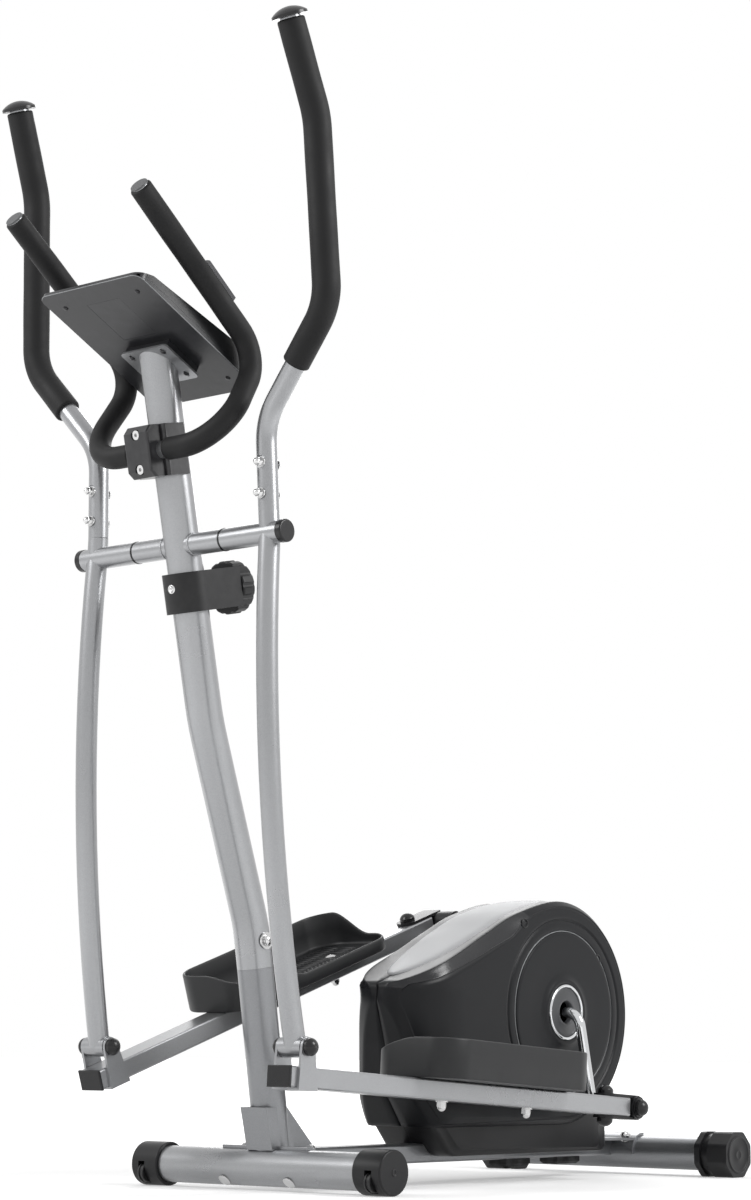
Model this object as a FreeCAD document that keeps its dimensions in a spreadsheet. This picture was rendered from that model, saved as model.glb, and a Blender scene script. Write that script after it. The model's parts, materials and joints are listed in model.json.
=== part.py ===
"""Parametric model of a cross trainer: frame, two swinging arms, pedals, crank and flywheel.

Units are millimetres.  +Z is up and the floor is at z = 0.  X runs across the machine, with the
user's left at +X, and Y runs along it from the mast (-Y) to the flywheel (+Y).  While the pieces
are made, y = 0 lies on the front stabiliser's axis; at the end every node is moved along Y so that
the origin stands under the middle of the whole machine.
"""
import FreeCAD, Part
import math
import os
import Sketcher

from FreeCAD import Placement, Rotation, Vector

SIZES = {
    # stabilisers and their end caps
    "stabiliser_dia": 52.0, "tube_wall": 2.0, "front_half": 205.0, "rear_half": 206.0,
    "cap_dia": 62.4, "cap_face": 234.8, "cap_length": 50.0, "cap_wall": 4.0, "cap_fit": 0.3,
    "level_dia": 70.0, "level_face": 244.2, "level_length": 60.0, "level_lobe": 3.0,
    "rear_axis_y": 830.6, "wheel_dia": 28.0, "wheel_width": 11.0, "wheel_reach": 3.0,
    "axle_dia": 5.0, "running_gap": 0.05, "side_gap": 0.6,
    # base frame
    "beam_width": 40.0, "beam_height": 28.0, "beam_top": 57.5, "beam_wall": 2.5,
    "saddle_half_front": 80.0, "saddle_half_rear": 62.0, "saddle_thick": 4.0,
    "bolt_spread_front": 61.0, "bolt_spread_rear": 45.0, "bolt_dia": 8.0, "gusset_thick": 3.0,
    # mast
    "mast_dia": 51.0, "stub_y": 14.4, "seam_z": 308.0, "low_bend_y": -36.5, "low_bend_z": 367.0,
    "high_bend_y": -135.6, "high_bend_z": 648.5, "mast_top_z": 1136.0, "mast_lean": 0.2133,
    "spigot_length": 90.0, "slip_gap": 0.2, "mast_bend_radius": 420.0,
    "plate_width": 88.6, "plate_length": 76.0, "plate_thick": 3.0, "console_tilt": 25.5,
    # swing pivot and arms
    "pivot_y": -189.4, "pivot_z": 888.2, "cross_dia": 31.0, "cross_half": 83.0,
    "washer_thick": 2.4, "sleeve_end": 189.5, "pivot_cap_face": 199.7, "rod_dia": 16.0,
    "arm_top_x": 167.5, "arm_low_x": 177.9, "arm_dia": 30.0, "arm_wall": 2.0,
    "arm_length": 691.7, "arm_bow": 24.0, "arm_middle": 3.49, "coupler_length": 766.0,
    "handle_dia": 29.0, "handle_start_z": 918.0, "handle_lean": 0.018,
    "handle_low_x": 164.3, "handle_low_y": -195.0, "handle_low_z": 1044.0,
    "handle_mid_x": 291.0, "handle_mid_y": -209.0, "handle_mid_z": 1183.0,
    "handle_bend_x": 289.5, "handle_bend_y": -224.5, "handle_bend_z": 1440.0,
    "handle_top_x": 285.5, "handle_top_y": -272.0, "handle_top_z": 1566.0,
    "handle_radius": 80.0, "foam_dia": 39.0, "foam_start_z": 1112.0, "end_cap_dia": 50.0,
    "slip_length": 95.0, "handle_bolt_low_z": 941.0, "handle_bolt_high_z": 984.0,
    # pedal arms, pedals and their rear joints
    "crank_y": 603.0, "crank_z": 254.0, "crank_radius": 145.7, "crank_phase": 7.5,
    "pedal_arm_x": 178.0, "pedal_arm_width": 40.0, "pedal_arm_height": 28.0,
    "pedal_arm_wall": 2.0, "arm_rear_stop": 18.5, "joint_setback": 56.0, "arm_front": 27.0,
    "pivot_drop": 40.0, "eye_half": 19.4, "ear_thick": 4.0, "joint_bolt_dia": 12.0,
    "pedal_length": 350.0, "pedal_width": 150.0, "pedal_centre": 353.0, "pedal_wall": 4.0,
    "pedal_low_rim": 20.0, "pedal_mid_rim": 40.0, "pedal_high_rim": 56.0, "pedal_corner": 46.0,
    "pedal_bolt_rear": 253.0, "pedal_bolt_span": 197.0,
    "crank_rod_dia": 16.0, "crank_hub_x": 102.0, "crank_low_x": 114.0, "crank_face_x": 124.5,
    "shear_gap": 1.0, "sleeve_dia": 34.0, "sleeve_out_x": 201.0, "dome_dia": 24.0,
    # drive
    "pulley_dia": 250.0, "flywheel_y": 400.0, "flywheel_z": 190.0, "flywheel_dia": 200.0,
    "flywheel_width": 16.0, "small_pulley_dia": 40.0, "belt_thick": 3.0, "belt_width": 12.0,
    # housing
    "housing_half": 75.0, "housing_radius": 172.0, "housing_wall": 3.0, "skirt_half": 58.0,
    "hub_hole_dia": 38.0, "hub_ring_dia": 86.0, "housing_corner": 12.0,
    # fixed handlebar, its clamp and the tension knob
    "bar_dia": 25.0, "grip_dia": 32.0, "bar_y": -253.0, "bar_z": 1012.5,
    "bar_side_x": 137.4, "bar_rear_x": 119.3, "bar_rear_y": -164.5,
    "bar_rear_z": 1146.0, "bar_end_x": 122.5, "bar_end_y": -405.7, "bar_end_z": 1333.7,
    "bar_radius": 68.0, "bar_rear_radius": 54.0, "clamp_height": 72.0, "clamp_width": 46.0,
    "knob_dia": 76.0, "knob_depth": 24.0, "knob_z": 825.0, "knob_box_height": 56.0,
    "knob_box_half": 34.0, "knob_box_reach": 74.0,
    # console
    "console_width": 194.4, "console_length": 260.0, "console_front_y": -381.3,
    "console_front_z": 1220.7, "console_depth": 30.0, "console_wall": 2.5,
    "button_dia": 16.0, "button_pitch": 44.0, "screen_width": 120.0, "screen_length": 74.0,
}

doc = FreeCAD.newDocument("CrossTrainer")
sheet = doc.addObject("Spreadsheet::Sheet", "Sizes")
for row, (alias, value) in enumerate(SIZES.items(), start=1):
    sheet.set(f"A{row}", alias)
    sheet.set(f"B{row}", str(value))
    sheet.setAlias(f"B{row}", alias)
doc.recompute()

NODES = []
SIDES = (("left", 1), ("right", -1))
X_AXIS, Y_AXIS, Z_AXIS = Vector(1, 0, 0), Vector(0, 1, 0), Vector(0, 0, 1)


def size(alias):
    """Read one driving dimension from the sheet."""
    return float(sheet.get(alias))


def cell(alias):
    """Name a sheet cell inside an expression."""
    return f"Sizes.{alias}"


def keep(item, label):
    """Label an object and list it as one of the machine's pieces."""
    item.Label = label
    NODES.append(item)
    return item


def facing(direction, origin=Vector()):
    """Placement that turns local +Z onto a direction and moves to an origin."""
    return Placement(origin, Rotation(Z_AXIS, direction))


def cylinder(name, radius, height, place):
    """Part::Cylinder whose radius and height are expressions on the sheet."""
    item = doc.addObject("Part::Cylinder", name)
    item.setExpression("Radius", radius)
    item.setExpression("Height", height)
    item.Placement = place
    return item


def box(name, length, width, height, place):
    """Part::Box whose three sides are expressions on the sheet."""
    item = doc.addObject("Part::Box", name)
    item.setExpression("Length", length)
    item.setExpression("Width", width)
    item.setExpression("Height", height)
    item.Placement = place
    return item


def cut(name, base, tool):
    """Part::Cut of one object by another."""
    item = doc.addObject("Part::Cut", name)
    item.Base, item.Tool = base, tool
    return item


def fuse(name, *shapes):
    """Part::MultiFuse of several objects into one piece."""
    item = doc.addObject("Part::MultiFuse", name)
    item.Shapes = list(shapes)
    item.Refine = True
    return item


def group(name, items):
    """Part::Compound that keeps several separate solids in one node."""
    item = doc.addObject("Part::Compound", name)
    item.Links = items
    return item


def solid(name, shape):
    """Part::Feature for a shape that code has built from the sheet's sizes."""
    item = doc.addObject("Part::Feature", name)
    item.Shape = shape
    return item


def ring_body(name, outer, width, place, inner=None):
    """PartDesign::Body: a disc, or a ring where an inner diameter is given."""
    body = doc.addObject("PartDesign::Body", name)
    plane = next(p for p in body.Origin.OriginFeatures if p.Role == "XY_Plane")
    sketch = body.newObject("Sketcher::SketchObject", name + "_outline")
    sketch.AttachmentSupport = [(plane, "")]
    sketch.MapMode = "FlatFace"
    for index, diameter in enumerate(d for d in (outer, inner) if d):
        sketch.addGeometry(Part.Circle(Vector(), Z_AXIS, 10.0 - 4.0 * index), False)
        sketch.addConstraint(Sketcher.Constraint("Coincident", index, 3, -1, 1))
        number = sketch.addConstraint(Sketcher.Constraint("Diameter", index, 20.0 - 8.0 * index))
        sketch.setExpression(f"Constraints[{number}]", diameter)
    pad = body.newObject("PartDesign::Pad", name + "_pad")
    pad.Profile = sketch
    pad.setExpression("Length", width)
    body.Placement = place
    return body


def rounded_path(points, radii):
    """Wire of straight runs joined by tangent arcs, one radius for each inner point."""
    edges, start = [], points[0]
    for i in range(1, len(points) - 1):
        back = (points[i - 1] - points[i]).normalize()
        ahead = (points[i + 1] - points[i]).normalize()
        half = back.getAngle(ahead) / 2
        reach = radii[i - 1] / math.tan(half)
        first, last = points[i] + back * reach, points[i] + ahead * reach
        toward = (back + ahead).normalize()
        middle = points[i] + toward * (radii[i - 1] / math.sin(half) - radii[i - 1])
        edges.append(Part.LineSegment(start, first).toShape())
        edges.append(Part.Arc(first, middle, last).toShape())
        start = last
    edges.append(Part.LineSegment(start, points[-1]).toShape())
    return Part.Wire(edges)


def pipe(path, radius, bore=0.0):
    """Round bar or tube swept along a wire."""
    edge = path.OrderedEdges[0]
    start = edge.valueAt(edge.FirstParameter)
    heading = edge.tangentAt(edge.FirstParameter)

    def sweep(r):
        profile = Part.Wire(Part.Circle(start, heading, r).toShape())
        return path.makePipeShell([profile], True, False)
    tube = sweep(radius)
    if bore:
        tube = tube.cut(sweep(bore))
    return tube


def rod(start, end, radius, bore=0.0):
    """Straight round bar or tube between two points."""
    axis = end - start
    bar = Part.makeCylinder(radius, axis.Length, start, axis)
    if bore:
        bar = bar.cut(Part.makeCylinder(bore, axis.Length, start, axis))
    return bar


def dome(centre, axis, radius, height, flat=3.0):
    """Domed cap: a short cylinder under a rounded crown."""
    crown = height - flat
    sphere_r = (radius ** 2 + crown ** 2) / (2 * crown)
    half = math.asin(min(1.0, radius / sphere_r)) / 2
    middle = Vector(sphere_r * math.sin(half), 0, height - sphere_r + sphere_r * math.cos(half))
    rim, top = Vector(radius, 0, flat), Vector(0, 0, height)
    edges = [Part.LineSegment(Vector(), Vector(radius, 0, 0)).toShape(),
             Part.LineSegment(Vector(radius, 0, 0), rim).toShape(),
             Part.Arc(rim, middle, top).toShape(), Part.LineSegment(top, Vector()).toShape()]
    cap = Part.Face(Part.Wire(edges)).revolve(Vector(), Z_AXIS, 360)
    cap.Placement = facing(Vector(axis), centre)
    return cap


def acorn_nut(centre, axis, across=13.0, height=12.0):
    """Hexagon nut with a domed end, standing on its seat."""
    unit = Vector(axis).normalize()
    place = facing(unit, centre)
    corner = across / math.sqrt(3)
    ring = [Vector(corner * math.cos(math.radians(60 * k)), corner * math.sin(math.radians(60 * k)), 0)
            for k in range(7)]
    prism = Part.Face(Part.makePolygon(ring)).extrude(Vector(0, 0, height * 0.5))
    prism.Placement = place
    return prism.fuse(dome(centre, unit, across * 0.47, height, flat=height * 0.55)).removeSplitter()


def washer(centre, axis, radius, bore, thick):
    """Flat washer on a bolt axis."""
    unit = Vector(axis).normalize()
    return rod(centre, centre + unit * thick, radius, bore)


def prism(points, direction):
    """Solid made by extruding a closed outline."""
    return Part.Face(Part.makePolygon(list(points) + [points[0]])).extrude(direction)


def mirrored(shape, sign):
    """The shape itself for the left side, or its mirror image for the right."""
    return shape if sign > 0 else shape.mirror(Vector(), X_AXIS)


# ---------------------------------------------------------------- stabilisers and end caps
stab_r = size("stabiliser_dia") / 2
front_z = size("cap_dia") / 2
rear_y, rear_z = size("rear_axis_y"), size("level_dia") / 2
beam_top, beam_bottom = size("beam_top"), size("beam_top") - size("beam_height")
bolt_r = size("bolt_dia") / 2
BOLT_TILT = math.radians(45)
front_bolt_axis = Vector(0, math.cos(BOLT_TILT), math.sin(BOLT_TILT))
rear_bolt_axis = Vector(0, -math.cos(BOLT_TILT), math.sin(BOLT_TILT))
front_centre = Vector(0, 0, front_z)
rear_centre = Vector(0, rear_y, rear_z)
STABILISERS = (("front", front_centre, front_bolt_axis, "bolt_spread_front", "saddle_half_front"),
               ("rear", rear_centre, rear_bolt_axis, "bolt_spread_rear", "saddle_half_rear"))

for name, centre, bolt_axis, spread, _ in STABILISERS:
    half = size(name + "_half")
    ends = Vector(half, 0, 0)
    tube = rod(centre - ends, centre + ends, stab_r, stab_r - size("tube_wall"))
    for sign in (1, -1):
        through = centre + X_AXIS * sign * size(spread)
        reach = bolt_axis * (stab_r + 2)
        tube = tube.cut(rod(through - reach, through + reach, bolt_r + 0.2))
    keep(solid(name + "_tube", tube), name + "_stabiliser_tube")

# transport wheel caps: a collar over the tube, a solid face, and a slot that holds the wheel
cap_r, cap_face = size("cap_dia") / 2, size("cap_face")
cap_inner = cap_face - size("cap_length")
tube_end = size("front_half")
wheel_r, wheel_w = size("wheel_dia") / 2, size("wheel_width")
wheel_x = tube_end + 3.0 + size("side_gap") + wheel_w / 2
wheel_centre = Vector(wheel_x, -(cap_r + size("wheel_reach") - wheel_r), wheel_r + 5.0)
axle_r, gap = size("axle_dia") / 2, size("running_gap")
caps = []
for side, sign in SIDES:
    cap = rod(Vector(cap_inner, 0, front_z), Vector(cap_face, 0, front_z), cap_r)
    cap = cap.makeFillet(2.5, [e for e in cap.Edges if e.BoundBox.XLength < 0.01])
    cap = cap.cut(rod(Vector(cap_inner - 1, 0, front_z), Vector(tube_end + 0.5, 0, front_z),
                      stab_r + size("cap_fit")))
    slot_w, slot_r = wheel_w + 2 * size("side_gap"), wheel_r + 2.0
    slot = Part.makeBox(slot_w, 2 * slot_r, 2 * slot_r,
                        wheel_centre - Vector(slot_w / 2, 2 * slot_r - 1.0, slot_r))
    slot = slot.fuse(Part.makeCylinder(slot_r, slot_w, wheel_centre - Vector(slot_w / 2, 0, 0), X_AXIS))
    cap = cap.cut(slot)
    bore = rod(wheel_centre - X_AXIS * (slot_w / 2 + 3), wheel_centre + X_AXIS * (slot_w / 2 + 3),
               axle_r + gap)
    cap = cap.cut(bore)
    caps.append(solid("wheel_cap_" + side, mirrored(cap, sign)))
keep(group("wheel_caps", caps), "wheel_caps")

for side, sign in SIDES:
    start = wheel_centre - X_AXIS * (wheel_w / 2)
    wheel = rod(start, start + X_AXIS * wheel_w, wheel_r)
    wheel = wheel.makeFillet(1.5, wheel.Edges[:1] + wheel.Edges[2:3])
    groove = rod(start + X_AXIS * 3.5, start + X_AXIS * (wheel_w - 3.5), wheel_r + 1, wheel_r - 1.2)
    wheel = wheel.cut(groove)
    axle_half = wheel_w / 2 + size("side_gap") + 2.8
    axle = rod(wheel_centre - X_AXIS * axle_half, wheel_centre + X_AXIS * axle_half, axle_r)
    wheel = wheel.fuse(axle).removeSplitter()
    keep(solid("wheel_" + side, mirrored(wheel, sign)), "transport_wheel_" + side)

# levelling caps: lobed discs that turn on the rear tube's ends
level_r, level_face = rear_z, size("level_face")
level_inner = level_face - size("level_length")
LOBES = 8
for side, sign in SIDES:
    outline = []
    for k in range(LOBES):
        angle = math.radians(360.0 * (k + 0.5) / LOBES)
        outline.append(Vector(0, math.cos(angle), math.sin(angle)) * (level_r / math.cos(math.pi / LOBES)))
    block = prism(outline, Vector(size("level_length"), 0, 0))
    block = block.makeFillet(10.0, [e for e in block.Edges if e.BoundBox.XLength > 10])
    waist = Part.makeCylinder(level_r + 4, 14, Vector(10, 0, 0), X_AXIS)
    waist = waist.cut(Part.makeCylinder(level_r - size("level_lobe"), 14, Vector(10, 0, 0), X_AXIS))
    block = block.cut(waist)
    block = block.cut(Part.makeCylinder(stab_r + size("cap_fit"), size("rear_half") - level_inner + 0.5,
                                        Vector(), X_AXIS))
    block.translate(Vector(level_inner, rear_y, rear_z))
    keep(solid("level_" + side, mirrored(block, sign)), "level_cap_" + side)

# ---------------------------------------------------------------- base frame
mast_r = size("mast_dia") / 2
beam_w, gusset = size("beam_width"), size("gusset_thick")
stub_foot = Vector(0, size("stub_y"), beam_top - 4)
seam = Vector(0, size("low_bend_y") + (size("seam_z") - size("low_bend_z"))
              * (size("low_bend_y") - size("stub_y")) / (size("low_bend_z") - beam_top),
              size("seam_z"))
low_bend = Vector(0, size("low_bend_y"), size("low_bend_z"))
high_bend = Vector(0, size("high_bend_y"), size("high_bend_z"))


def mast_axis(z):
    """Point on the upper straight run of the mast at a height."""
    return Vector(0, size("high_bend_y") - (z - size("high_bend_z")) * size("mast_lean"), z)


up_low = (low_bend - seam).normalize()
up_high = (mast_axis(1100) - mast_axis(1000)).normalize()


def saddle(centre, half, facing_angle):
    """Curved plate that hugs the upper inner quarter of a stabiliser tube."""
    inner, outer = stab_r + 0.1, stab_r + 0.1 + size("saddle_thick")
    shell = rod(centre - X_AXIS * half, centre + X_AXIS * half, outer, inner)
    reach = outer * 1.6
    rays = [centre]
    for turn in (-52, -20, 20, 52):
        angle = math.radians(facing_angle + turn)
        rays.append(centre + Vector(0, math.cos(angle), math.sin(angle)) * reach)
    wedge = prism([p - X_AXIS * half for p in rays], X_AXIS * 2 * half)
    return shell.common(wedge)


beam_front, beam_rear = front_centre.y, rear_y
beam = Part.makeBox(beam_w, beam_rear - beam_front, size("beam_height"),
                    Vector(-beam_w / 2, beam_front, beam_bottom))
beam = beam.makeFillet(4.0, [e for e in beam.Edges if e.BoundBox.YLength > 100])
wall = size("beam_wall")
hollow = Part.makeBox(beam_w - 2 * wall, beam_rear - beam_front + 2, size("beam_height") - 2 * wall,
                      Vector(-beam_w / 2 + wall, beam_front - 1, beam_bottom + wall))
beam = beam.cut(hollow)
for name, centre, bolt_axis, spread, half in STABILISERS:
    beam = beam.cut(rod(centre - X_AXIS * 60, centre + X_AXIS * 60, stab_r + 0.1))
saddles = [saddle(front_centre, size("saddle_half_front"), 45),
           saddle(rear_centre, size("saddle_half_rear"), 135)]
flare = [Vector(-beam_w / 2, rear_y - 110, beam_top - 4), Vector(beam_w / 2, rear_y - 110, beam_top - 4),
         Vector(size("saddle_half_rear"), rear_y - 20, beam_top - 4),
         Vector(-size("saddle_half_rear"), rear_y - 20, beam_top - 4)]
flare = prism(flare, Vector(0, 0, 4))
flare = flare.cut(rod(rear_centre - X_AXIS * 90, rear_centre + X_AXIS * 90, stab_r + 0.1))
stub = rod(stub_foot, seam, mast_r, mast_r - size("tube_wall"))
spigot_r = mast_r - size("tube_wall") - size("slip_gap")
spigot = rod(seam - up_low * 20, seam + up_low * (size("spigot_length") - 44), spigot_r, spigot_r - 2.5)
collar = rod(seam - up_low * 20, seam - up_low * 2, mast_r - 0.5, spigot_r - 2.5)
front_face_y = size("stub_y") - mast_r
channel_top = stub_foot + up_low * 62
channel = [Vector(-24, front_face_y + 8, beam_top - 2), Vector(24, front_face_y + 8, beam_top - 2),
           Vector(24, channel_top.y - 22, channel_top.z), Vector(-24, channel_top.y - 22, channel_top.z)]
front_web = prism([v + Vector(0, -10, 0) for v in channel], Vector(0, gusset, 0))
side_webs = [prism([Vector(x, front_face_y - 2, beam_top - 2), Vector(x, size("stub_y") + 20, beam_top - 2),
                    Vector(x, channel_top.y + 8, channel_top.z), Vector(x, channel_top.y - 32, channel_top.z)],
                   Vector(gusset, 0, 0)) for x in (-24, 24 - gusset)]
rear_web = prism([Vector(-gusset / 2, size("stub_y") + mast_r - 8, beam_top - 2),
                  Vector(-gusset / 2, size("stub_y") + 88, beam_top - 2),
                  Vector(-gusset / 2, size("stub_y") + mast_r - 14, beam_top + 72)], Vector(gusset, 0, 0))
rear_web = rear_web.cut(rod(stub_foot, seam, mast_r - 1))
webs = Part.makeCompound([front_web] + side_webs).cut(rod(stub_foot - up_low * 20, seam, mast_r - 1))

# drive tower: two upright plates inside the housing that carry the crank and the flywheel
crank_y, crank_z = size("crank_y"), size("crank_z")
fly_y, fly_z = size("flywheel_y"), size("flywheel_z")
TOWER_X, TOWER_THICK = 34.0, 4.0
bearing_r = 17.0
crank_centre, fly_centre = Vector(0, crank_y, crank_z), Vector(0, fly_y, fly_z)
towers = []
for sign in (1, -1):
    x0 = TOWER_X * sign - (TOWER_THICK if sign < 0 else 0)
    leg = prism([Vector(x0, crank_y - 60, beam_top - 1), Vector(x0, crank_y + 60, beam_top - 1),
                 Vector(x0, crank_y + 24, crank_z), Vector(x0, crank_y - 24, crank_z)],
                Vector(TOWER_THICK, 0, 0))
    boss = Part.makeCylinder(24, TOWER_THICK, Vector(x0, crank_y, crank_z), X_AXIS)
    fork = prism([Vector(x0, fly_y - 45, beam_top - 1), Vector(x0, fly_y + 45, beam_top - 1),
                  Vector(x0, fly_y + 12, fly_z + 16), Vector(x0, fly_y - 12, fly_z + 16)],
                 Vector(TOWER_THICK, 0, 0))
    foot_x = beam_w / 2 - 3 if sign > 0 else -TOWER_X - TOWER_THICK
    foot_w = TOWER_X + TOWER_THICK - beam_w / 2 + 3
    feet = [Part.makeBox(foot_w, 2 * half, TOWER_THICK, Vector(foot_x, y - half, beam_top - TOWER_THICK))
            for y, half in ((crank_y, 60), (fly_y, 45))]
    leg = leg.fuse([boss, fork] + feet)
    leg = leg.cut(Part.makeCylinder(bearing_r, 3 * TOWER_THICK, Vector(x0 - 4, crank_y, crank_z), X_AXIS))
    leg = leg.cut(Part.makeCylinder(5.0, 3 * TOWER_THICK, Vector(x0 - 4, fly_y, fly_z), X_AXIS))
    towers.append(leg)
base = beam.fuse(saddles + [flare, stub, spigot, collar, rear_web] + webs.Solids + towers)
for name, centre, bolt_axis, spread, half in STABILISERS:
    base = base.cut(rod(centre - X_AXIS * 90, centre + X_AXIS * 90, stab_r + 0.1))
    for sign in (1, -1):
        through = centre + X_AXIS * sign * size(spread)
        seat = through + bolt_axis * (stab_r + 0.1 + size("saddle_thick"))
        base = base.cut(rod(through, seat + bolt_axis, bolt_r + 0.2))
        base = base.cut(rod(seat, seat + bolt_axis * 22, 10.5))
SIDE_BOLT = seam + up_low * 38
base = base.cut(rod(SIDE_BOLT - X_AXIS * 40, SIDE_BOLT + X_AXIS * 40, bolt_r + 0.2))
keep(solid("base_frame", base.removeSplitter()), "base_frame")

fasteners = []
for name, centre, bolt_axis, spread, half in STABILISERS:
    for sign in (1, -1):
        at = centre + X_AXIS * sign * size(spread)
        seat = at + bolt_axis * (stab_r + 0.1 + size("saddle_thick"))
        head = dome(at - bolt_axis * stab_r, bolt_axis * -1, 9.5, 4.0, flat=1.0)
        shank = rod(at - bolt_axis * (stab_r + 1), seat + bolt_axis * 3, bolt_r)
        fasteners.append(solid("carriage_bolt", head.fuse(shank).removeSplitter()))
        fasteners.append(solid("bolt_washer", washer(seat + bolt_axis * 0.2, bolt_axis, 9.0,
                                                     bolt_r + 0.2, 1.6)))
        nut = acorn_nut(seat + bolt_axis * 2, bolt_axis)
        nut = nut.cut(rod(at, seat + bolt_axis * 3.4, bolt_r + 0.1))
        fasteners.append(solid("cap_nut", nut))
keep(group("stabiliser_bolts", fasteners), "stabiliser_bolts")

pads = []
for number, y in enumerate((560.0, 690.0)):
    pad = Part.makeBox(34, 60, 11, Vector(-17, y - 30, beam_bottom - 11))
    pad = pad.makeChamfer(4, [e for e in pad.Edges if e.BoundBox.ZLength < 0.1
                              and e.CenterOfMass.z < beam_bottom - 5])
    pads.append(solid("beam_pad", pad))
keep(group("beam_pads", pads), "beam_pads")

# ---------------------------------------------------------------- mast
pivot = Vector(0, size("pivot_y"), size("pivot_z"))
cross_r, rod_r = size("cross_dia") / 2, size("rod_dia") / 2
mast_path = rounded_path([seam + up_low * 0.3, low_bend, high_bend, mast_axis(size("mast_top_z"))],
                         [size("mast_bend_radius") / 2, size("mast_bend_radius")])
mast_bore = mast_r - size("tube_wall")
tilt = math.radians(size("console_tilt"))
console_across = Vector(0, math.cos(tilt), -math.sin(tilt))
console_up = Vector(0, math.sin(tilt), math.cos(tilt))
console_turn = Rotation(X_AXIS, -size("console_tilt"))
plate_centre = mast_axis(size("mast_top_z")) + console_up * 2.0
mast_solid = pipe(mast_path, mast_r)
top_cutter = Part.makeBox(200, 200, 100, Vector(-100, -100, 0))
top_cutter.Placement = Placement(plate_centre, console_turn)
mast_solid = mast_solid.fuse(rod(mast_axis(size("mast_top_z") - 5), mast_axis(size("mast_top_z") + 40), mast_r))
mast_solid = mast_solid.cut(top_cutter)
cross = rod(pivot - X_AXIS * size("cross_half"), pivot + X_AXIS * size("cross_half"), cross_r)
mast_solid = mast_solid.fuse(cross)
bore_wire = rounded_path([seam - up_low * 5, low_bend, high_bend, mast_axis(size("mast_top_z") + 60)],
                         [size("mast_bend_radius") / 2, size("mast_bend_radius")])
mast_solid = mast_solid.cut(pipe(bore_wire, mast_bore))
mast_solid = mast_solid.cut(rod(pivot - X_AXIS * 90, pivot + X_AXIS * 90, rod_r + 0.1))
mast_solid = mast_solid.cut(rod(SIDE_BOLT, SIDE_BOLT + X_AXIS * 40, bolt_r + 0.2))
plate = Part.makeBox(size("plate_width"), size("plate_length"), size("plate_thick"),
                     Vector(-size("plate_width") / 2, -size("plate_length") / 2, 0))
plate = plate.makeFillet(6, [e for e in plate.Edges if e.BoundBox.ZLength > 2.9
                             and e.BoundBox.XLength < 0.1 and e.BoundBox.YLength < 0.1])
PLATE_SLOT_X, PLATE_SLOT_Y = 30.0, 26.0
for x in (-PLATE_SLOT_X, PLATE_SLOT_X):
    for y in (-PLATE_SLOT_Y, PLATE_SLOT_Y):
        slot = Part.makeBox(4.4, 12, 6, Vector(x - 2.2, y - 6, -1))
        plate = plate.cut(slot.makeFillet(2.1, [e for e in slot.Edges if e.BoundBox.ZLength > 5.9]))
plate = plate.cut(Part.makeCylinder(16, 6, Vector(0, 0, -1)))
plate.Placement = Placement(plate_centre - console_up * 0.5, console_turn)
mast_solid = mast_solid.fuse(plate).removeSplitter()
keep(solid("mast", mast_solid), "mast")

mast_hardware = []
side_seat = SIDE_BOLT + X_AXIS * (mast_r + 0.2)
mast_hardware.append(solid("mast_washer", washer(side_seat, X_AXIS, 12.0, bolt_r + 0.3, 2.0)))
mast_bolt = dome(side_seat + X_AXIS * 2.1, X_AXIS, 8.0, 6.0, flat=2.0)
mast_bolt = mast_bolt.fuse(rod(SIDE_BOLT + X_AXIS * 16, side_seat + X_AXIS * 3, bolt_r))
mast_bolt = mast_bolt.cut(Part.makeCylinder(2.6, 4, side_seat + X_AXIS * 5, X_AXIS))
mast_hardware.append(solid("mast_bolt", mast_bolt))

# ---------------------------------------------------------------- swing pivot
axle_half = size("pivot_cap_face") - 5.0
axle = cylinder("pivot_rod", cell("rod_dia") + " / 2", f"2 * ({cell('pivot_cap_face')} - 5)",
                facing(X_AXIS, pivot - X_AXIS * axle_half))
keep(axle, "pivot_axle")
washer_in = size("cross_half") + 0.2
pivot_parts = []
for side, sign in SIDES:
    at = pivot + X_AXIS * sign * washer_in
    pivot_parts.append(solid("pivot_washer", washer(at, X_AXIS * sign, cross_r + 0.6, rod_r + 0.1,
                                                    size("washer_thick"))))
    start = pivot + X_AXIS * sign * (size("sleeve_end") + 0.4)
    length = size("pivot_cap_face") - size("sleeve_end") - 0.4
    cap = rod(start, start + X_AXIS * sign * length, 16.0, 0)
    cap = cap.makeFillet(2.5, [e for e in cap.Edges if e.BoundBox.XLength < 0.01
                               and abs(abs(e.CenterOfMass.x) - size("pivot_cap_face")) < 0.1])
    cap = cap.cut(rod(start, pivot + X_AXIS * sign * (axle_half + 0.1), rod_r + 0.1))
    pivot_parts.append(solid("pivot_cap", cap))
keep(group("pivot_fittings", pivot_parts), "pivot_fittings")

sleeve_start = washer_in + size("washer_thick") + 0.4
bush_r = cross_r - 3.5
bushes = []
for side, sign in SIDES:
    for start, end in ((sleeve_start, sleeve_start + 22), (size("sleeve_end") - 22, size("sleeve_end"))):
        bush = rod(Vector(start, pivot.y, pivot.z), Vector(end, pivot.y, pivot.z), bush_r - gap, rod_r + 0.02)
        bushes.append(solid("pivot_bush", mirrored(bush, sign)))
keep(group("pivot_bushes", bushes), "pivot_bushes")

# ---------------------------------------------------------------- swinging arms
arm_r, arm_len = size("arm_dia") / 2, size("arm_length")
handle_r = size("handle_dia") / 2
spigot_h = handle_r - 2.2


def handle_points(lean):
    """Centre line of the left upper handle, leaning a little along Y above the slip joint."""
    start = Vector(size("arm_top_x") - 1.5, size("pivot_y") - 0.5, size("handle_start_z"))
    points = [start]
    for key in ("low", "mid", "bend", "top"):
        z = size(f"handle_{key}_z")
        points.append(Vector(size(f"handle_{key}_x"),
                             size(f"handle_{key}_y") + lean * (z - size("handle_low_z")), z))
    return points


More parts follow.
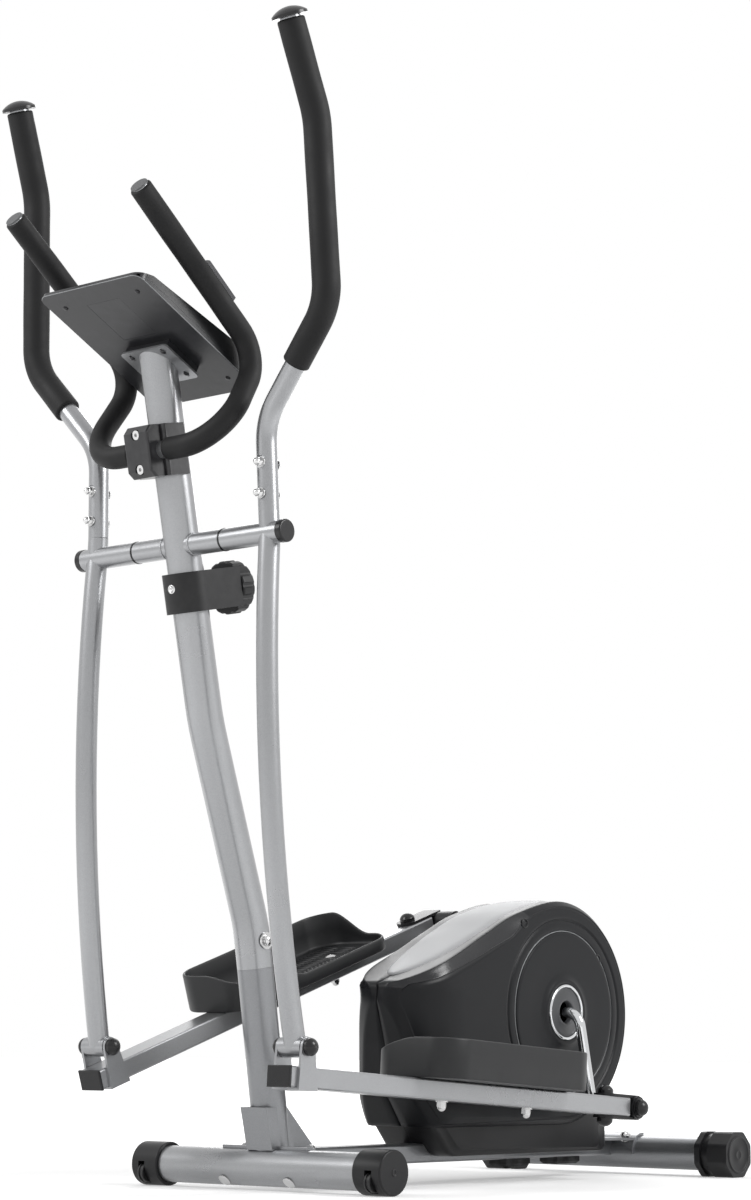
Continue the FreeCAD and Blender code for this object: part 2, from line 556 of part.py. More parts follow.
def point_at(path, z):
    """First point of a rising wire at a height, with the heading there."""
    for edge in path.OrderedEdges:
        low, high = edge.valueAt(edge.FirstParameter), edge.valueAt(edge.LastParameter)
        if low.z <= z <= high.z:
            first, last = edge.FirstParameter, edge.LastParameter
            for _ in range(40):
                middle = (first + last) / 2
                if edge.valueAt(middle).z < z:
                    first = middle
                else:
                    last = middle
            return edge.valueAt(first), edge.tangentAt(first)
    raise ValueError("the path doesn't reach that height")


def clip(path, start_z, end_z):
    """Part of a rising wire between two heights."""
    pieces = []
    for edge in path.OrderedEdges:
        marks = [edge.FirstParameter, edge.LastParameter]
        low, high = edge.valueAt(marks[0]).z, edge.valueAt(marks[1]).z
        if high <= start_z or low >= end_z:
            continue
        for index, limit in ((0, start_z), (1, end_z)):
            if low < limit < high:
                a, b = edge.FirstParameter, edge.LastParameter
                for _ in range(40):
                    middle = (a + b) / 2
                    if edge.valueAt(middle).z < limit:
                        a = middle
                    else:
                        b = middle
                marks[index] = a
        pieces.append(edge.Curve.toShape(*marks))
    return Part.Wire(pieces)


def crank_pin(sign):
    """Centre of a crank pin at rest: the left one low and a little past the bottom."""
    phase = math.radians(size("crank_phase"))
    return Vector(0, crank_y + sign * size("crank_radius") * math.sin(phase),
                  crank_z - sign * size("crank_radius") * math.cos(phase))


def joint_at(angle):
    """Lower end of a swinging arm at an angle from straight down, towards +Y."""
    turn = math.radians(angle)
    return Vector(0, pivot.y + arm_len * math.sin(turn), pivot.z - arm_len * math.cos(turn))


def rest_angle(sign):
    """Arm angle at which the pedal arm, of fixed length, just reaches its crank pin."""
    low, high = -30.0, 40.0
    for _ in range(60):
        middle = (low + high) / 2
        if (crank_pin(sign) - joint_at(middle)).Length > size("coupler_length"):
            low = middle
        else:
            high = middle
    return low


def swing(shape, sign):
    """Turn a left-hand arm piece about the pivot to its rest angle, then mirror it if needed."""
    turned = shape.copy()
    turned.rotate(pivot, X_AXIS, rest_angle(sign) - size("arm_middle"))
    return mirrored(turned, sign)


low_joint = joint_at(size("arm_middle")) + X_AXIS * size("arm_low_x")
arm_head = Vector(size("arm_top_x"), pivot.y, pivot.z)
arm_mid = (arm_head + low_joint) * 0.5 + Vector(0, -size("arm_bow"), 0)

for side, sign in SIDES:
    arc = Part.Wire(Part.Arc(arm_head, arm_mid, low_joint).toShape())
    lower = pipe(arc, arm_r)
    eye = rod(low_joint - X_AXIS * size("eye_half"), low_joint + X_AXIS * size("eye_half"), arm_r - 1.0)
    sleeve = rod(Vector(sleeve_start, pivot.y, pivot.z), Vector(size("sleeve_end"), pivot.y, pivot.z), cross_r)
    stub_top = Vector(size("arm_top_x") - 1.5, pivot.y - 0.5, size("handle_start_z") - 0.4)
    neck = rod(arm_head, stub_top, handle_r)
    tongue = rod(stub_top, Vector(stub_top.x - 0.3, pivot.y - 2.8, size("handle_start_z") + size("slip_length") - 5),
                 spigot_h - size("slip_gap"))
    path = rounded_path(handle_points(-sign * size("handle_lean")),
                        [size("handle_radius"), size("handle_radius"), 1.6 * size("handle_radius")])
    around = pipe(path, handle_r + 1, spigot_h - size("slip_gap"))
    lower = lower.fuse([eye, sleeve, neck, tongue.cut(around)])
    lower = lower.cut(rod(Vector(sleeve_start - 1, pivot.y, pivot.z),
                          Vector(size("sleeve_end") + 1, pivot.y, pivot.z), bush_r))
    lower = lower.cut(rod(low_joint - X_AXIS * 25, low_joint + X_AXIS * 25, size("joint_bolt_dia") / 2 + gap))
    lower = lower.cut(rod(Vector(stub_top.x, pivot.y, pivot.z + cross_r + 12),
                          Vector(stub_top.x - 0.3, pivot.y - 2.8, size("handle_start_z") + size("slip_length")),
                          spigot_h - 3.0))
    for key in ("low", "high"):
        z = size(f"handle_bolt_{key}_z")
        lower = lower.cut(rod(Vector(stub_top.x, pivot.y - 30, z), Vector(stub_top.x, pivot.y + 30, z), 3.4))
    keep(solid("lower_arm_" + side, swing(lower.removeSplitter(), sign)), "swing_arm_" + side)

    tube = pipe(path, handle_r, spigot_h)
    for key in ("low", "high"):
        z = size(f"handle_bolt_{key}_z")
        tube = tube.cut(rod(Vector(stub_top.x, pivot.y - 30, z), Vector(stub_top.x, pivot.y + 30, z), 3.4))
        for way in (1, -1):
            face = Vector(stub_top.x, pivot.y - 1.4 + way * (handle_r + 0.4), z)
            tube = tube.cut(rod(face, face + Y_AXIS * way * 8, 9.5))
    keep(solid("handle_tube_" + side, swing(tube, sign)), "handle_tube_" + side)

    foam_end = size("handle_top_z")
    foam = pipe(clip(path, size("foam_start_z"), foam_end - 2.0), size("foam_dia") / 2, handle_r + 0.05)
    keep(solid("handle_foam_" + side, swing(foam, sign)), "handle_foam_" + side)

    tip, heading = point_at(path, foam_end - 1.0)
    seat = tip + heading * 1.5
    knob_cap = dome(seat, heading, size("end_cap_dia") / 2, 14.0, flat=4.0)
    plug = rod(seat - heading * 20, seat + heading * 1, spigot_h - 0.1)
    keep(solid("handle_cap_" + side, swing(knob_cap.fuse(plug).removeSplitter(), sign)), "handle_cap_" + side)

    bolts = []
    for key in ("low", "high"):
        z = size(f"handle_bolt_{key}_z")
        front = Vector(stub_top.x, pivot.y - 1.4 - handle_r - 0.4, z)
        rear = Vector(stub_top.x, pivot.y - 1.4 + handle_r + 0.4, z)
        head = dome(rear, Y_AXIS, 7.0, 5.5, flat=1.5)
        shank = rod(front + Y_AXIS * -9, rear + Y_AXIS * 1, 3.2)
        bolts.append(solid("handle_bolt", swing(head.fuse(shank).removeSplitter(), sign)))
        plain = washer(front, Y_AXIS * -1, 7.5, 3.4, 1.6)
        bolts.append(solid("handle_washer", swing(plain, sign)))
        nut = acorn_nut(front - Y_AXIS * 1.8, Y_AXIS * -1, 11.0, 12.0)
        nut = nut.cut(rod(front, front - Y_AXIS * 9.2, 3.3))
        bolts.append(solid("handle_nut", swing(nut, sign)))
    keep(group("handle_bolts_" + side, bolts), "handle_bolts_" + side)

# ---------------------------------------------------------------- pedal arms and rear joints
arm_w, arm_h = size("pedal_arm_width"), size("pedal_arm_height")
arm_x, drop = size("pedal_arm_x"), size("pivot_drop")
bolt_r12 = size("joint_bolt_dia") / 2
reach = math.sqrt(size("coupler_length") ** 2 - drop ** 2)
rear_end, front_end = -size("arm_rear_stop"), -reach - size("arm_front")
setback = size("joint_setback")
pin_r = size("crank_rod_dia") / 2
shear_x = size("crank_face_x") + size("shear_gap")
PLATE = 4.0
pedal_base = arm_h / 2 + 0.3


def ride(shape, sign):
    """Put a piece made in the pedal arm's own frame (pin at the origin) in its rest place."""
    joint, pin = joint_at(rest_angle(sign)), crank_pin(sign)
    slope = math.atan2(pin.z - joint.z, pin.y - joint.y) + math.atan2(drop, reach)
    placed = shape.copy()
    placed.rotate(Vector(), X_AXIS, math.degrees(slope))
    placed.translate(pin)
    return mirrored(placed, sign)


def bored_dome(centre, axis, bore_r, depth):
    """Domed bolt cap with a blind hole that slips over the bolt's end."""
    unit = Vector(axis).normalize()
    cap = dome(centre, unit, size("dome_dia") / 2, 13.0, flat=5.0)
    return cap.cut(rod(centre - unit, centre + unit * depth, bore_r))


def rounded_plan(length, width, corner, height):
    """Upright block with rounded corners, centred on the origin."""
    block = Part.makeBox(width, length, height, Vector(-width / 2, -length / 2, 0))
    return block.makeFillet(corner, [e for e in block.Edges if e.BoundBox.ZLength > height - 0.1
                                     and e.BoundBox.XLength < 0.1 and e.BoundBox.YLength < 0.1])


PEDAL_BOLTS = (-size("pedal_bolt_rear"), -size("pedal_bolt_rear") - size("pedal_bolt_span"))
RIB_HALF, RIB_START, BOSS_R = 46.0, -133.0, 12.0


def pedal_tray():
    """Open tray: tall on the outer side and front, low on the inner side."""
    length, width, wall_t = size("pedal_length"), size("pedal_width"), size("pedal_wall")
    high, low, middle = size("pedal_high_rim"), size("pedal_low_rim"), size("pedal_mid_rim")
    blank = high + 10
    tray = rounded_plan(length, width, size("pedal_corner"), blank)
    well = rounded_plan(length - 2 * wall_t, width - 2 * wall_t, size("pedal_corner") - wall_t, blank)
    well.translate(Vector(0, 0, wall_t))
    tray = tray.cut(well)
    half_w, half_l = width / 2 + 1, length / 2 + 1
    slope = prism([Vector(half_w, -half_l, high), Vector(half_w, -half_l, high + 60),
                   Vector(-half_w, -half_l, high + 60), Vector(-half_w, -half_l, middle)],
                  Vector(0, 2 * half_l, 0))
    scoop_front, scoop_rear = -half_l + 70, half_l + 1
    scoop = prism([Vector(-half_w, scoop_front, high + 60), Vector(-half_w, scoop_front, middle),
                   Vector(-half_w, scoop_front + 60, low), Vector(-half_w, scoop_rear, low),
                   Vector(-half_w, scoop_rear, high + 60)], Vector(width * 0.55, 0, 0))
    tray = tray.cut(slope).cut(scoop)
    ribs = [Part.makeBox(RIB_HALF * 2, 5, 2.5, Vector(-RIB_HALF, RIB_START + k * 14, wall_t - 1.0))
            for k in range(20)]
    spots = [s + size("pedal_centre") for s in PEDAL_BOLTS]
    tabs = [Part.makeBox(3, 36, 9, Vector(arm_w / 2 + 0.4, spot - 18, -8)) for spot in spots]
    tray = tray.fuse(ribs + tabs)
    for spot in spots:
        tray = tray.cut(Part.makeCylinder(BOSS_R, 6, Vector(0, spot, wall_t)))
        tray = tray.cut(Part.makeCylinder(bolt_r + 0.3, 10, Vector(0, spot, -1)))
    tray.translate(Vector(arm_x, -size("pedal_centre"), pedal_base))
    return tray


for side, sign in SIDES:
    tube = Part.makeBox(arm_w, rear_end - front_end, arm_h, Vector(arm_x - arm_w / 2, front_end, -arm_h / 2))
    tube = tube.makeFillet(3.0, [e for e in tube.Edges if e.BoundBox.YLength > 100])
    inside = size("pedal_arm_wall")
    tube = tube.cut(Part.makeBox(arm_w - 2 * inside, rear_end - front_end + 2, arm_h - 2 * inside,
                                 Vector(arm_x - arm_w / 2 + inside, front_end - 1, -arm_h / 2 + inside)))
    ears = []
    for ear_sign in (-1, 1):
        x0 = arm_x + ear_sign * (arm_w / 2) - (size("ear_thick") if ear_sign < 0 else 0)
        ear = prism([Vector(x0, -reach - 16, -arm_h / 2), Vector(x0, -reach + 22, -arm_h / 2),
                     Vector(x0, -reach + 13, drop), Vector(x0, -reach - 13, drop)],
                    Vector(size("ear_thick"), 0, 0))
        ear = ear.fuse(Part.makeCylinder(13, size("ear_thick"), Vector(x0, -reach, drop), X_AXIS))
        ears.append(ear)
    strap = Part.makeBox(arm_w + 2 * size("ear_thick"), 38, 3,
                         Vector(arm_x - arm_w / 2 - size("ear_thick"), -reach - 16, -arm_h / 2 - 3))
    tube = tube.fuse(ears + [strap])
    tube = tube.cut(Part.makeCylinder(bolt_r12 + 0.1, arm_w + 30, Vector(arm_x - arm_w / 2 - 15, -reach, drop), X_AXIS))
    tube = tube.cut(Part.makeCylinder(bolt_r12 + 0.1, arm_h + 4, Vector(arm_x, -setback, -arm_h / 2 - 2)))
    for s in PEDAL_BOLTS:
        tube = tube.cut(Part.makeCylinder(bolt_r + 0.2, arm_h + 4, Vector(arm_x, s, -arm_h / 2 - 2)))
    keep(solid("pedal_arm_" + side, ride(tube.removeSplitter(), sign)), "pedal_arm_" + side)
    keep(solid("pedal_" + side, ride(pedal_tray(), sign)), "pedal_" + side)

    sleeve_r = size("sleeve_dia") / 2
    clevis = rod(Vector(shear_x, 0, 0), Vector(size("sleeve_out_x"), 0, 0), sleeve_r)
    plates = []
    for level in (arm_h / 2 + 0.3, -arm_h / 2 - 0.3 - PLATE):
        strap = Part.makeBox(arm_w - 4, setback + 8, PLATE, Vector(arm_x - arm_w / 2 + 2, -setback, level))
        nose = Part.makeCylinder(arm_w / 2 - 2, PLATE, Vector(arm_x, -setback, level))
        plates += [strap, nose]
    clevis = clevis.fuse(plates)
    clevis = clevis.cut(rod(Vector(shear_x - 1, 0, 0), Vector(size("sleeve_out_x") + 1, 0, 0), pin_r + 3.0))
    clevis = clevis.cut(Part.makeCylinder(bolt_r12 + 0.1, 3 * arm_h, Vector(arm_x, -setback, -1.5 * arm_h)))
    keep(solid("crank_joint_" + side, ride(clevis.removeSplitter(), sign)), "crank_joint_" + side)

    ends = (arm_x - arm_w / 2 - size("ear_thick"), arm_x + arm_w / 2 + size("ear_thick"))
    shafts = [rod(Vector(ends[0] - 7, -reach, drop), Vector(ends[1] + 7, -reach, drop), bolt_r12),
              rod(Vector(arm_x, -setback, -arm_h / 2 - PLATE - 8), Vector(arm_x, -setback, arm_h / 2 + PLATE + 8), bolt_r12),
              rod(Vector(shear_x, 0, 0), Vector(size("sleeve_out_x") + 9, 0, 0), pin_r),
              rod(Vector(shear_x, 0, 0), Vector(shear_x + 25, 0, 0), pin_r + 2.9, pin_r + gap),
              rod(Vector(size("sleeve_out_x") - 25, 0, 0), Vector(size("sleeve_out_x"), 0, 0), pin_r + 2.9, pin_r + gap)]
    for s in PEDAL_BOLTS:
        foot = Vector(arm_x, s, -arm_h / 2)
        bolt = Part.makeCylinder(bolt_r, arm_h + size("pedal_wall") + 9, foot - Z_AXIS * 8)
        top = foot + Z_AXIS * (arm_h + 0.3 + size("pedal_wall") + 0.1)
        shafts.append(bolt.fuse(dome(top, Z_AXIS, 9.5, 3.5, flat=1.0)).removeSplitter())
        shafts.append(washer(foot - Z_AXIS * 0.1, Z_AXIS * -1, 9.0, bolt_r + 0.2, 1.6))
        nut = acorn_nut(foot - Z_AXIS * 1.8, Z_AXIS * -1, 13.0, 13.0)
        shafts.append(nut.cut(Part.makeCylinder(bolt_r + 0.1, 20, foot - Z_AXIS * 8.1)))
    pieces = [solid("joint_shaft", ride(shaft, sign)) for shaft in shafts]
    keep(group("arm_fasteners_" + side, pieces), "arm_fasteners_" + side)

    plug = Part.makeBox(arm_w + 1, 4, arm_h + 1, Vector(arm_x - arm_w / 2 - 0.5, front_end - 4.1, -arm_h / 2 - 0.5))
    plug = plug.makeFillet(1.5, [e for e in plug.Edges if e.CenterOfMass.y < front_end - 4])
    inner = arm_w - 2 * inside - 0.4
    plug = plug.fuse(Part.makeBox(inner, 14.2, arm_h - 2 * inside - 0.4,
                                  Vector(arm_x - inner / 2, front_end - 0.2, -arm_h / 2 + inside + 0.2)))
    trims = [plug.removeSplitter(),
             bored_dome(Vector(ends[1] + 0.1, -reach, drop), X_AXIS, bolt_r12 + 0.1, 7.2),
             bored_dome(Vector(ends[0] - 0.1, -reach, drop), X_AXIS * -1, bolt_r12 + 0.1, 7.2),
             bored_dome(Vector(arm_x, -setback, arm_h / 2 + PLATE + 0.4), Z_AXIS, bolt_r12 + 0.1, 8),
             bored_dome(Vector(arm_x, -setback, -arm_h / 2 - PLATE - 0.4), Z_AXIS * -1, bolt_r12 + 0.1, 8),
             bored_dome(Vector(size("sleeve_out_x") + 2.2, 0, 0), X_AXIS, pin_r + 0.1, 7),
             washer(Vector(size("sleeve_out_x") + 0.1, 0, 0), X_AXIS, 15.0, pin_r + 0.1, 2.0)]
    pieces = [solid("arm_cap", ride(trim, sign)) for trim in trims]
    keep(group("arm_caps_" + side, pieces), "arm_caps_" + side)

# ---------------------------------------------------------------- crank, flywheel and belt
hub_x, low_x = size("crank_hub_x"), size("crank_low_x")
left_pin, right_pin = crank_pin(1), crank_pin(-1)
crank_points = [Vector(-size("crank_face_x"), right_pin.y, right_pin.z),
                Vector(-low_x, right_pin.y, right_pin.z), Vector(-hub_x, crank_y, crank_z),
                Vector(hub_x, crank_y, crank_z), Vector(low_x, left_pin.y, left_pin.z),
                Vector(size("crank_face_x"), left_pin.y, left_pin.z)]
crank = pipe(rounded_path(crank_points, [11.0, 24.0, 24.0, 11.0]), pin_r)
keep(solid("crank", crank), "crank")

fly_r, fly_w = size("flywheel_dia") / 2, size("flywheel_width")
PULLEY_X = -24.0
belt_w = size("belt_width")
pulley_r, small_r = size("pulley_dia") / 2, size("small_pulley_dia") / 2
pulley = ring_body("drive_pulley_disc", cell("pulley_dia"), cell("belt_width") + " + 4",
                   facing(X_AXIS, Vector(PULLEY_X - 2, crank_y, crank_z)),
                   inner=f"{cell('crank_rod_dia')} + 0.02")
keep(pulley, "drive_pulley")

flywheel = rod(Vector(4, fly_y, fly_z), Vector(4 + fly_w, fly_y, fly_z), fly_r)
for x in (4 - 1, 4 + fly_w - 4):
    flywheel = flywheel.cut(rod(Vector(x, fly_y, fly_z), Vector(x + 5, fly_y, fly_z), fly_r - 22, 24))
hub = rod(Vector(PULLEY_X - 2, fly_y, fly_z), Vector(4 + fly_w + 2, fly_y, fly_z), 14)
small = rod(Vector(PULLEY_X - 2, fly_y, fly_z), Vector(PULLEY_X + belt_w + 2, fly_y, fly_z), small_r)
flywheel = flywheel.fuse([hub, small])
flywheel = flywheel.cut(rod(Vector(-60, fly_y, fly_z), Vector(60, fly_y, fly_z), 5.0 + gap))
keep(solid("flywheel", flywheel.removeSplitter()), "flywheel")

AXLE_SPAN = TOWER_X + TOWER_THICK + 8
fly_axle = rod(fly_centre - X_AXIS * AXLE_SPAN, fly_centre + X_AXIS * AXLE_SPAN, 4.9)
bearings = [solid("flywheel_axle", fly_axle)]
for sign in (1, -1):
    x0 = sign * (TOWER_X - 3)
    x1 = sign * (TOWER_X + TOWER_THICK + 3)
    bearing = rod(Vector(x0, crank_y, crank_z), Vector(x1, crank_y, crank_z), bearing_r - 0.1, pin_r + gap)
    bearings.append(solid("crank_bearing", bearing))
    nut_x = sign * (TOWER_X + TOWER_THICK + 0.3)
    nut = acorn_nut(Vector(nut_x, fly_y, fly_z), X_AXIS * sign, 17.0, 12.0)
    bearings.append(solid("axle_nut", nut.cut(rod(fly_centre, fly_centre + X_AXIS * sign * (AXLE_SPAN + 0.2), 5.0))))
keep(group("drive_bearings", bearings), "drive_bearings")


def belt_block(extra, start_x, width):
    """Solid bounded by two pulley circles, each enlarged by the same amount, and their tangents."""
    big, little = pulley_r + extra, small_r + extra
    axis = fly_centre - crank_centre
    spread = math.acos((big - little) / axis.Length)
    heading = math.atan2(axis.z, axis.y)
    corners = []
    for centre, radius, order in ((crank_centre, big, (1, -1)), (fly_centre, little, (-1, 1))):
        for turn in order:
            angle = heading + turn * spread
            corners.append(Vector(start_x, centre.y + radius * math.cos(angle), centre.z + radius * math.sin(angle)))
    ends = [Part.makeCylinder(radius, width, Vector(start_x, centre.y, centre.z), X_AXIS)
            for centre, radius in ((crank_centre, big), (fly_centre, little))]
    return prism(corners, X_AXIS * width).fuse(ends).removeSplitter()


belt = belt_block(0.3 + size("belt_thick"), PULLEY_X, belt_w).cut(belt_block(0.3, PULLEY_X - 1, belt_w + 2))
keep(solid("drive_belt", belt), "drive_belt")

# magnet carrier: a curved shoe that hinges away from the flywheel rim
shoe_gap, shoe_thick = 3.0, 6.0
shoe_angle = math.radians(180 + 8)
shoe_arm = fly_r + shoe_gap + shoe_thick + 4
shoe_pivot = fly_centre + Vector(0, shoe_arm * math.cos(shoe_angle), shoe_arm * math.sin(shoe_angle))
shoe = rod(Vector(2, fly_y, fly_z), Vector(6 + fly_w, fly_y, fly_z), fly_r + shoe_gap + shoe_thick, fly_r + shoe_gap)
fan = prism([Vector(2, fly_y, fly_z), Vector(2, fly_y - 160, fly_z - 40), Vector(2, fly_y - 160, fly_z + 160),
             Vector(2, fly_y - 60, fly_z + 160)], Vector(fly_w + 4, 0, 0))
shoe = shoe.common(fan)
eye = rod(shoe_pivot + X_AXIS * 2, shoe_pivot + X_AXIS * (6 + fly_w), 7.0)
shoe = shoe.fuse(eye).cut(rod(shoe_pivot - X_AXIS * 2, shoe_pivot + X_AXIS * 40, 3.0 + gap))
keep(solid("magnet_carrier", shoe.removeSplitter()), "magnet_carrier")

# ---------------------------------------------------------------- housing
WIDE, NARROW, WALL = size("housing_half"), size("skirt_half"), size("housing_wall")
big_r = size("housing_radius")
HOUSING_FRONT, HOUSING_REAR, HOUSING_FLOOR = 238.0, 736.0, 39.0
SHOULDER = ((281.0, 309.0), (358.0, 342.0), (428.0, 375.0), (500.0, 405.0))
SHOULDER_NORMAL = (0.42, 0.91)
NOSE = ((241.0, 292.0), (238.0, 268.0), (256.0, 203.0), (262.0, 128.0))


def housing_profile(inset):
    """Side outline of the upper cover at x = 0, moved in by an inset, as one closed wire."""
    radius = big_r - inset
    top = Vector(0, crank_y, crank_z + radius)
    back = Vector(0, crank_y + radius, crank_z)
    bottom = Vector(0, crank_y, crank_z - radius)
    ridge = [Vector(0, y + inset * SHOULDER_NORMAL[0], z - inset * SHOULDER_NORMAL[1]) for y, z in SHOULDER]
    nose = [Vector(0, y + inset, z) for y, z in NOSE]
    nose[0].z -= inset
    nose.append(Vector(0, NOSE[-1][0] + 34 + inset, bottom.z))
    curve = Part.BSplineCurve()
    curve.interpolate([nose[0]] + ridge + [top], False, InitialTangent=Vector(0, 1, 0.42),
                      FinalTangent=Y_AXIS)
    edges = [curve.toShape(), Part.Arc(top, back, bottom).toShape()]
    corners = [bottom] + nose[::-1]
    edges += [Part.LineSegment(a, b).toShape() for a, b in zip(corners, corners[1:])]
    return Part.Wire(Part.__sortEdges__(edges))


def plan_block(inset, half):
    """Upright block whose front end is rounded in plan, with its walls moved in by an inset."""
    front, knee = HOUSING_FRONT - 2 + inset, HOUSING_FRONT + 92
    half = half - inset
    start, end = Vector(0, front, 0), Vector(half, knee, 0)
    middle = Vector(half * 0.76, front + (knee - front) * 0.36, 0)
    edges = [Part.Arc(start, middle, end).toShape()]
    corners = [end, Vector(half, 820 - inset, 0), Vector(0, 820 - inset, 0), start]
    edges += [Part.LineSegment(a, b).toShape() for a, b in zip(corners, corners[1:])]
    return Part.Face(Part.Wire(edges)).extrude(Vector(0, 0, 500))


def half_cover(inset):
    """One side of the cover as a full solid, all its walls moved in by an inset."""
    face = Part.Face(housing_profile(inset))
    upper = face.extrude(Vector(WIDE - inset, 0, 0)).common(plan_block(inset, WIDE))
    skirt = prism([Vector(0, 340, HOUSING_FLOOR), Vector(0, HOUSING_REAR - inset, HOUSING_FLOOR),
                   Vector(0, HOUSING_REAR - inset, 160), Vector(0, 300, 160), Vector(0, 290 + inset, 96)],
                  Vector(NARROW - inset, 0, 0))
    return upper.fuse(skirt).removeSplitter()


SEAM_GAP = 0.15
cover = half_cover(0).cut(half_cover(WALL))
cover = cover.cut(Part.makeBox(2 * SEAM_GAP, 900, 600, Vector(-SEAM_GAP, 100, 0)))
cover = cover.cut(Part.makeBox(beam_w / 2 + 0.6, 900, beam_top + 0.6, Vector(0, 100, 0)))
cover = cover.cut(Part.makeBox(size("saddle_half_rear") + 0.6, 111, 5.2, Vector(0, rear_y - 111, beam_top - 4.6)))
cover = cover.cut(Part.makeBox(NARROW + 2, 900, HOUSING_FLOOR + 1, Vector(-1, 100, 0)))
cover = cover.cut(rod(crank_centre, crank_centre + X_AXIS * 100, size("hub_hole_dia") / 2))
cover = cover.cut(rod(rear_centre, rear_centre + X_AXIS * 200, stab_r + size("saddle_thick") + 8))
SCREW_HOLES = ((502.0, 388.0), (692.0, 338.0), (424.0, 172.0))
for y, z in SCREW_HOLES:
    cover = cover.cut(rod(Vector(WIDE - 8, y, z), Vector(WIDE + 2, y, z), 4.5))
for side, sign in SIDES:
    keep(solid("housing_" + side, mirrored(cover, sign)), "housing_" + side)

INSERT_RISE, INSERT_HALF, INSERT_START, INSERT_END = 2.4, 60.0, 262.0, 640.0
insert = Part.Face(housing_profile(-INSERT_RISE)).extrude(Vector(2 * INSERT_HALF, 0, 0))
insert = insert.cut(Part.Face(housing_profile(-0.2)).extrude(Vector(2 * INSERT_HALF, 0, 0)))
insert.translate(Vector(-INSERT_HALF, 0, 0))
leaf = rounded_plan(INSERT_END - INSERT_START, 2 * INSERT_HALF, 56.0, 600)
leaf.translate(Vector(0, (INSERT_START + INSERT_END) / 2, 295))
insert = insert.common(leaf)
keep(solid("housing_insert", insert), "housing_insert")

rings = []
for side, sign in SIDES:
    ring_r = size("hub_ring_dia") / 2
    chrome = rod(Vector(WIDE + 0.2, crank_y, crank_z), Vector(WIDE + 4, crank_y, crank_z), ring_r, ring_r - 6)
    disc = rod(Vector(WIDE + 0.2, crank_y, crank_z), Vector(WIDE + 3, crank_y, crank_z), ring_r - 6.2,
               size("hub_hole_dia") / 2 - 2)
    rings += [solid("hub_ring", mirrored(chrome, sign)), solid("hub_disc", mirrored(disc, sign))]
keep(group("hub_rings", rings), "hub_rings")

housing_screws = []
for side, sign in SIDES:
    for y, z in SCREW_HOLES:
        screw = rod(Vector(WIDE - 7.5, y, z), Vector(WIDE - 3.0, y, z), 3.6)
        housing_screws.append(solid("housing_screw", mirrored(screw, sign)))

# ---------------------------------------------------------------- fixed handlebar and its clamp
bar_r, grip_r = size("bar_dia") / 2, size("grip_dia") / 2
bar_level = Vector(0, size("bar_y"), size("bar_z"))
bar_right = [Vector(size("bar_side_x"), size("bar_y"), size("bar_z")),
             Vector(size("bar_rear_x"), size("bar_rear_y"), size("bar_rear_z")),
             Vector(size("bar_end_x"), size("bar_end_y"), size("bar_end_z"))]
bar_left = [Vector(-p.x, p.y, p.z) for p in bar_right]
bar_radii = [size("bar_radius"), size("bar_rear_radius")]
bar_path = rounded_path(bar_left[::-1] + bar_right, bar_radii[::-1] + bar_radii)
keep(solid("handlebar", pipe(bar_path, bar_r, bar_r - 1.8)), "handlebar")

CLAMP_REAR_WIDTH = 60.0
GRIP_START = CLAMP_REAR_WIDTH / 2 + 3
end_run = (bar_right[2] - bar_right[1]).normalize()
half_path = rounded_path([bar_level + X_AXIS * GRIP_START] + bar_right[:2] + [bar_right[2] - end_run * 1.0],
                         bar_radii)
grip = pipe(half_path, grip_r, bar_r + 0.05)
grips = [solid("grip_foam", mirrored(grip, sign)) for side, sign in SIDES]
keep(group("grip_foams", grips), "grip_foams")

plugs = []
for side, sign in SIDES:
    end = bar_right[2] + end_run * 0.2
    plug = rod(end, end + end_run * 2.5, bar_r + 0.6)
    plug = plug.makeFillet(1.2, [e for e in plug.Edges if (e.CenterOfMass - end).Length > 2])
    plug = plug.fuse(rod(end - end_run * 18, end, bar_r - 2.0)).removeSplitter()
    plugs.append(solid("grip_plug", mirrored(plug, sign)))
keep(group("grip_plugs", plugs), "grip_plugs")

# pulse sensors: thin curved plates over the outer side of each grip, clear of the foam
SENSOR_FROM, SENSOR_LENGTH, SENSOR_THICK = 92.0, 66.0, 5.0
sensors = []
for side, sign in SIDES:
    near = bar_right[1] + end_run * SENSOR_FROM
    plate = rod(near, near + end_run * SENSOR_LENGTH, grip_r + 0.1 + SENSOR_THICK, grip_r + 0.1)
    across = X_AXIS.cross(end_run).normalize()
    if across.z < 0:
        across = across * -1
    keep_box = Part.makeBox(2 * grip_r - 6, 40, SENSOR_LENGTH + 10, Vector(-grip_r + 3, 6, -5))
    keep_box.Placement = Placement(near, Rotation(X_AXIS, across, end_run, "ZXY"))
    sensors.append(solid("pulse_sensor", mirrored(plate.common(keep_box), sign)))
keep(group("pulse_sensors", sensors), "pulse_sensors")

clamp_h, clamp_w = size("clamp_height"), size("clamp_width")
clamp_turn = Rotation(X_AXIS, math.degrees(math.atan(size("mast_lean"))))
mast_here = mast_axis(size("bar_z"))
rearward = clamp_turn.multVec(Y_AXIS)
bar_offset = (bar_level - mast_here).dot(rearward)
clamp_place = Placement(bar_level, clamp_turn)
front_depth = 27.0
front = Part.makeBox(clamp_w, front_depth, clamp_h, Vector(-clamp_w / 2, -front_depth - 0.2, -clamp_h / 2))
front = front.makeChamfer(9.0, [e for e in front.Edges if e.CenterOfMass.y < -front_depth
                                and e.BoundBox.XLength > 10])
front = front.makeFillet(3.0, [e for e in front.Edges if e.BoundBox.XLength < 0.1
                               and e.CenterOfMass.y < -front_depth + 12])
rear = Part.makeBox(CLAMP_REAR_WIDTH, -bar_offset - 0.2 + 6, clamp_h,
                    Vector(-CLAMP_REAR_WIDTH / 2, 0.2, -clamp_h / 2))
rear = rear.makeFillet(5.0, [e for e in rear.Edges if e.BoundBox.ZLength > clamp_h - 1])
bar_hole = rod(Vector(-60, 0, 0), Vector(60, 0, 0), bar_r + 0.1)
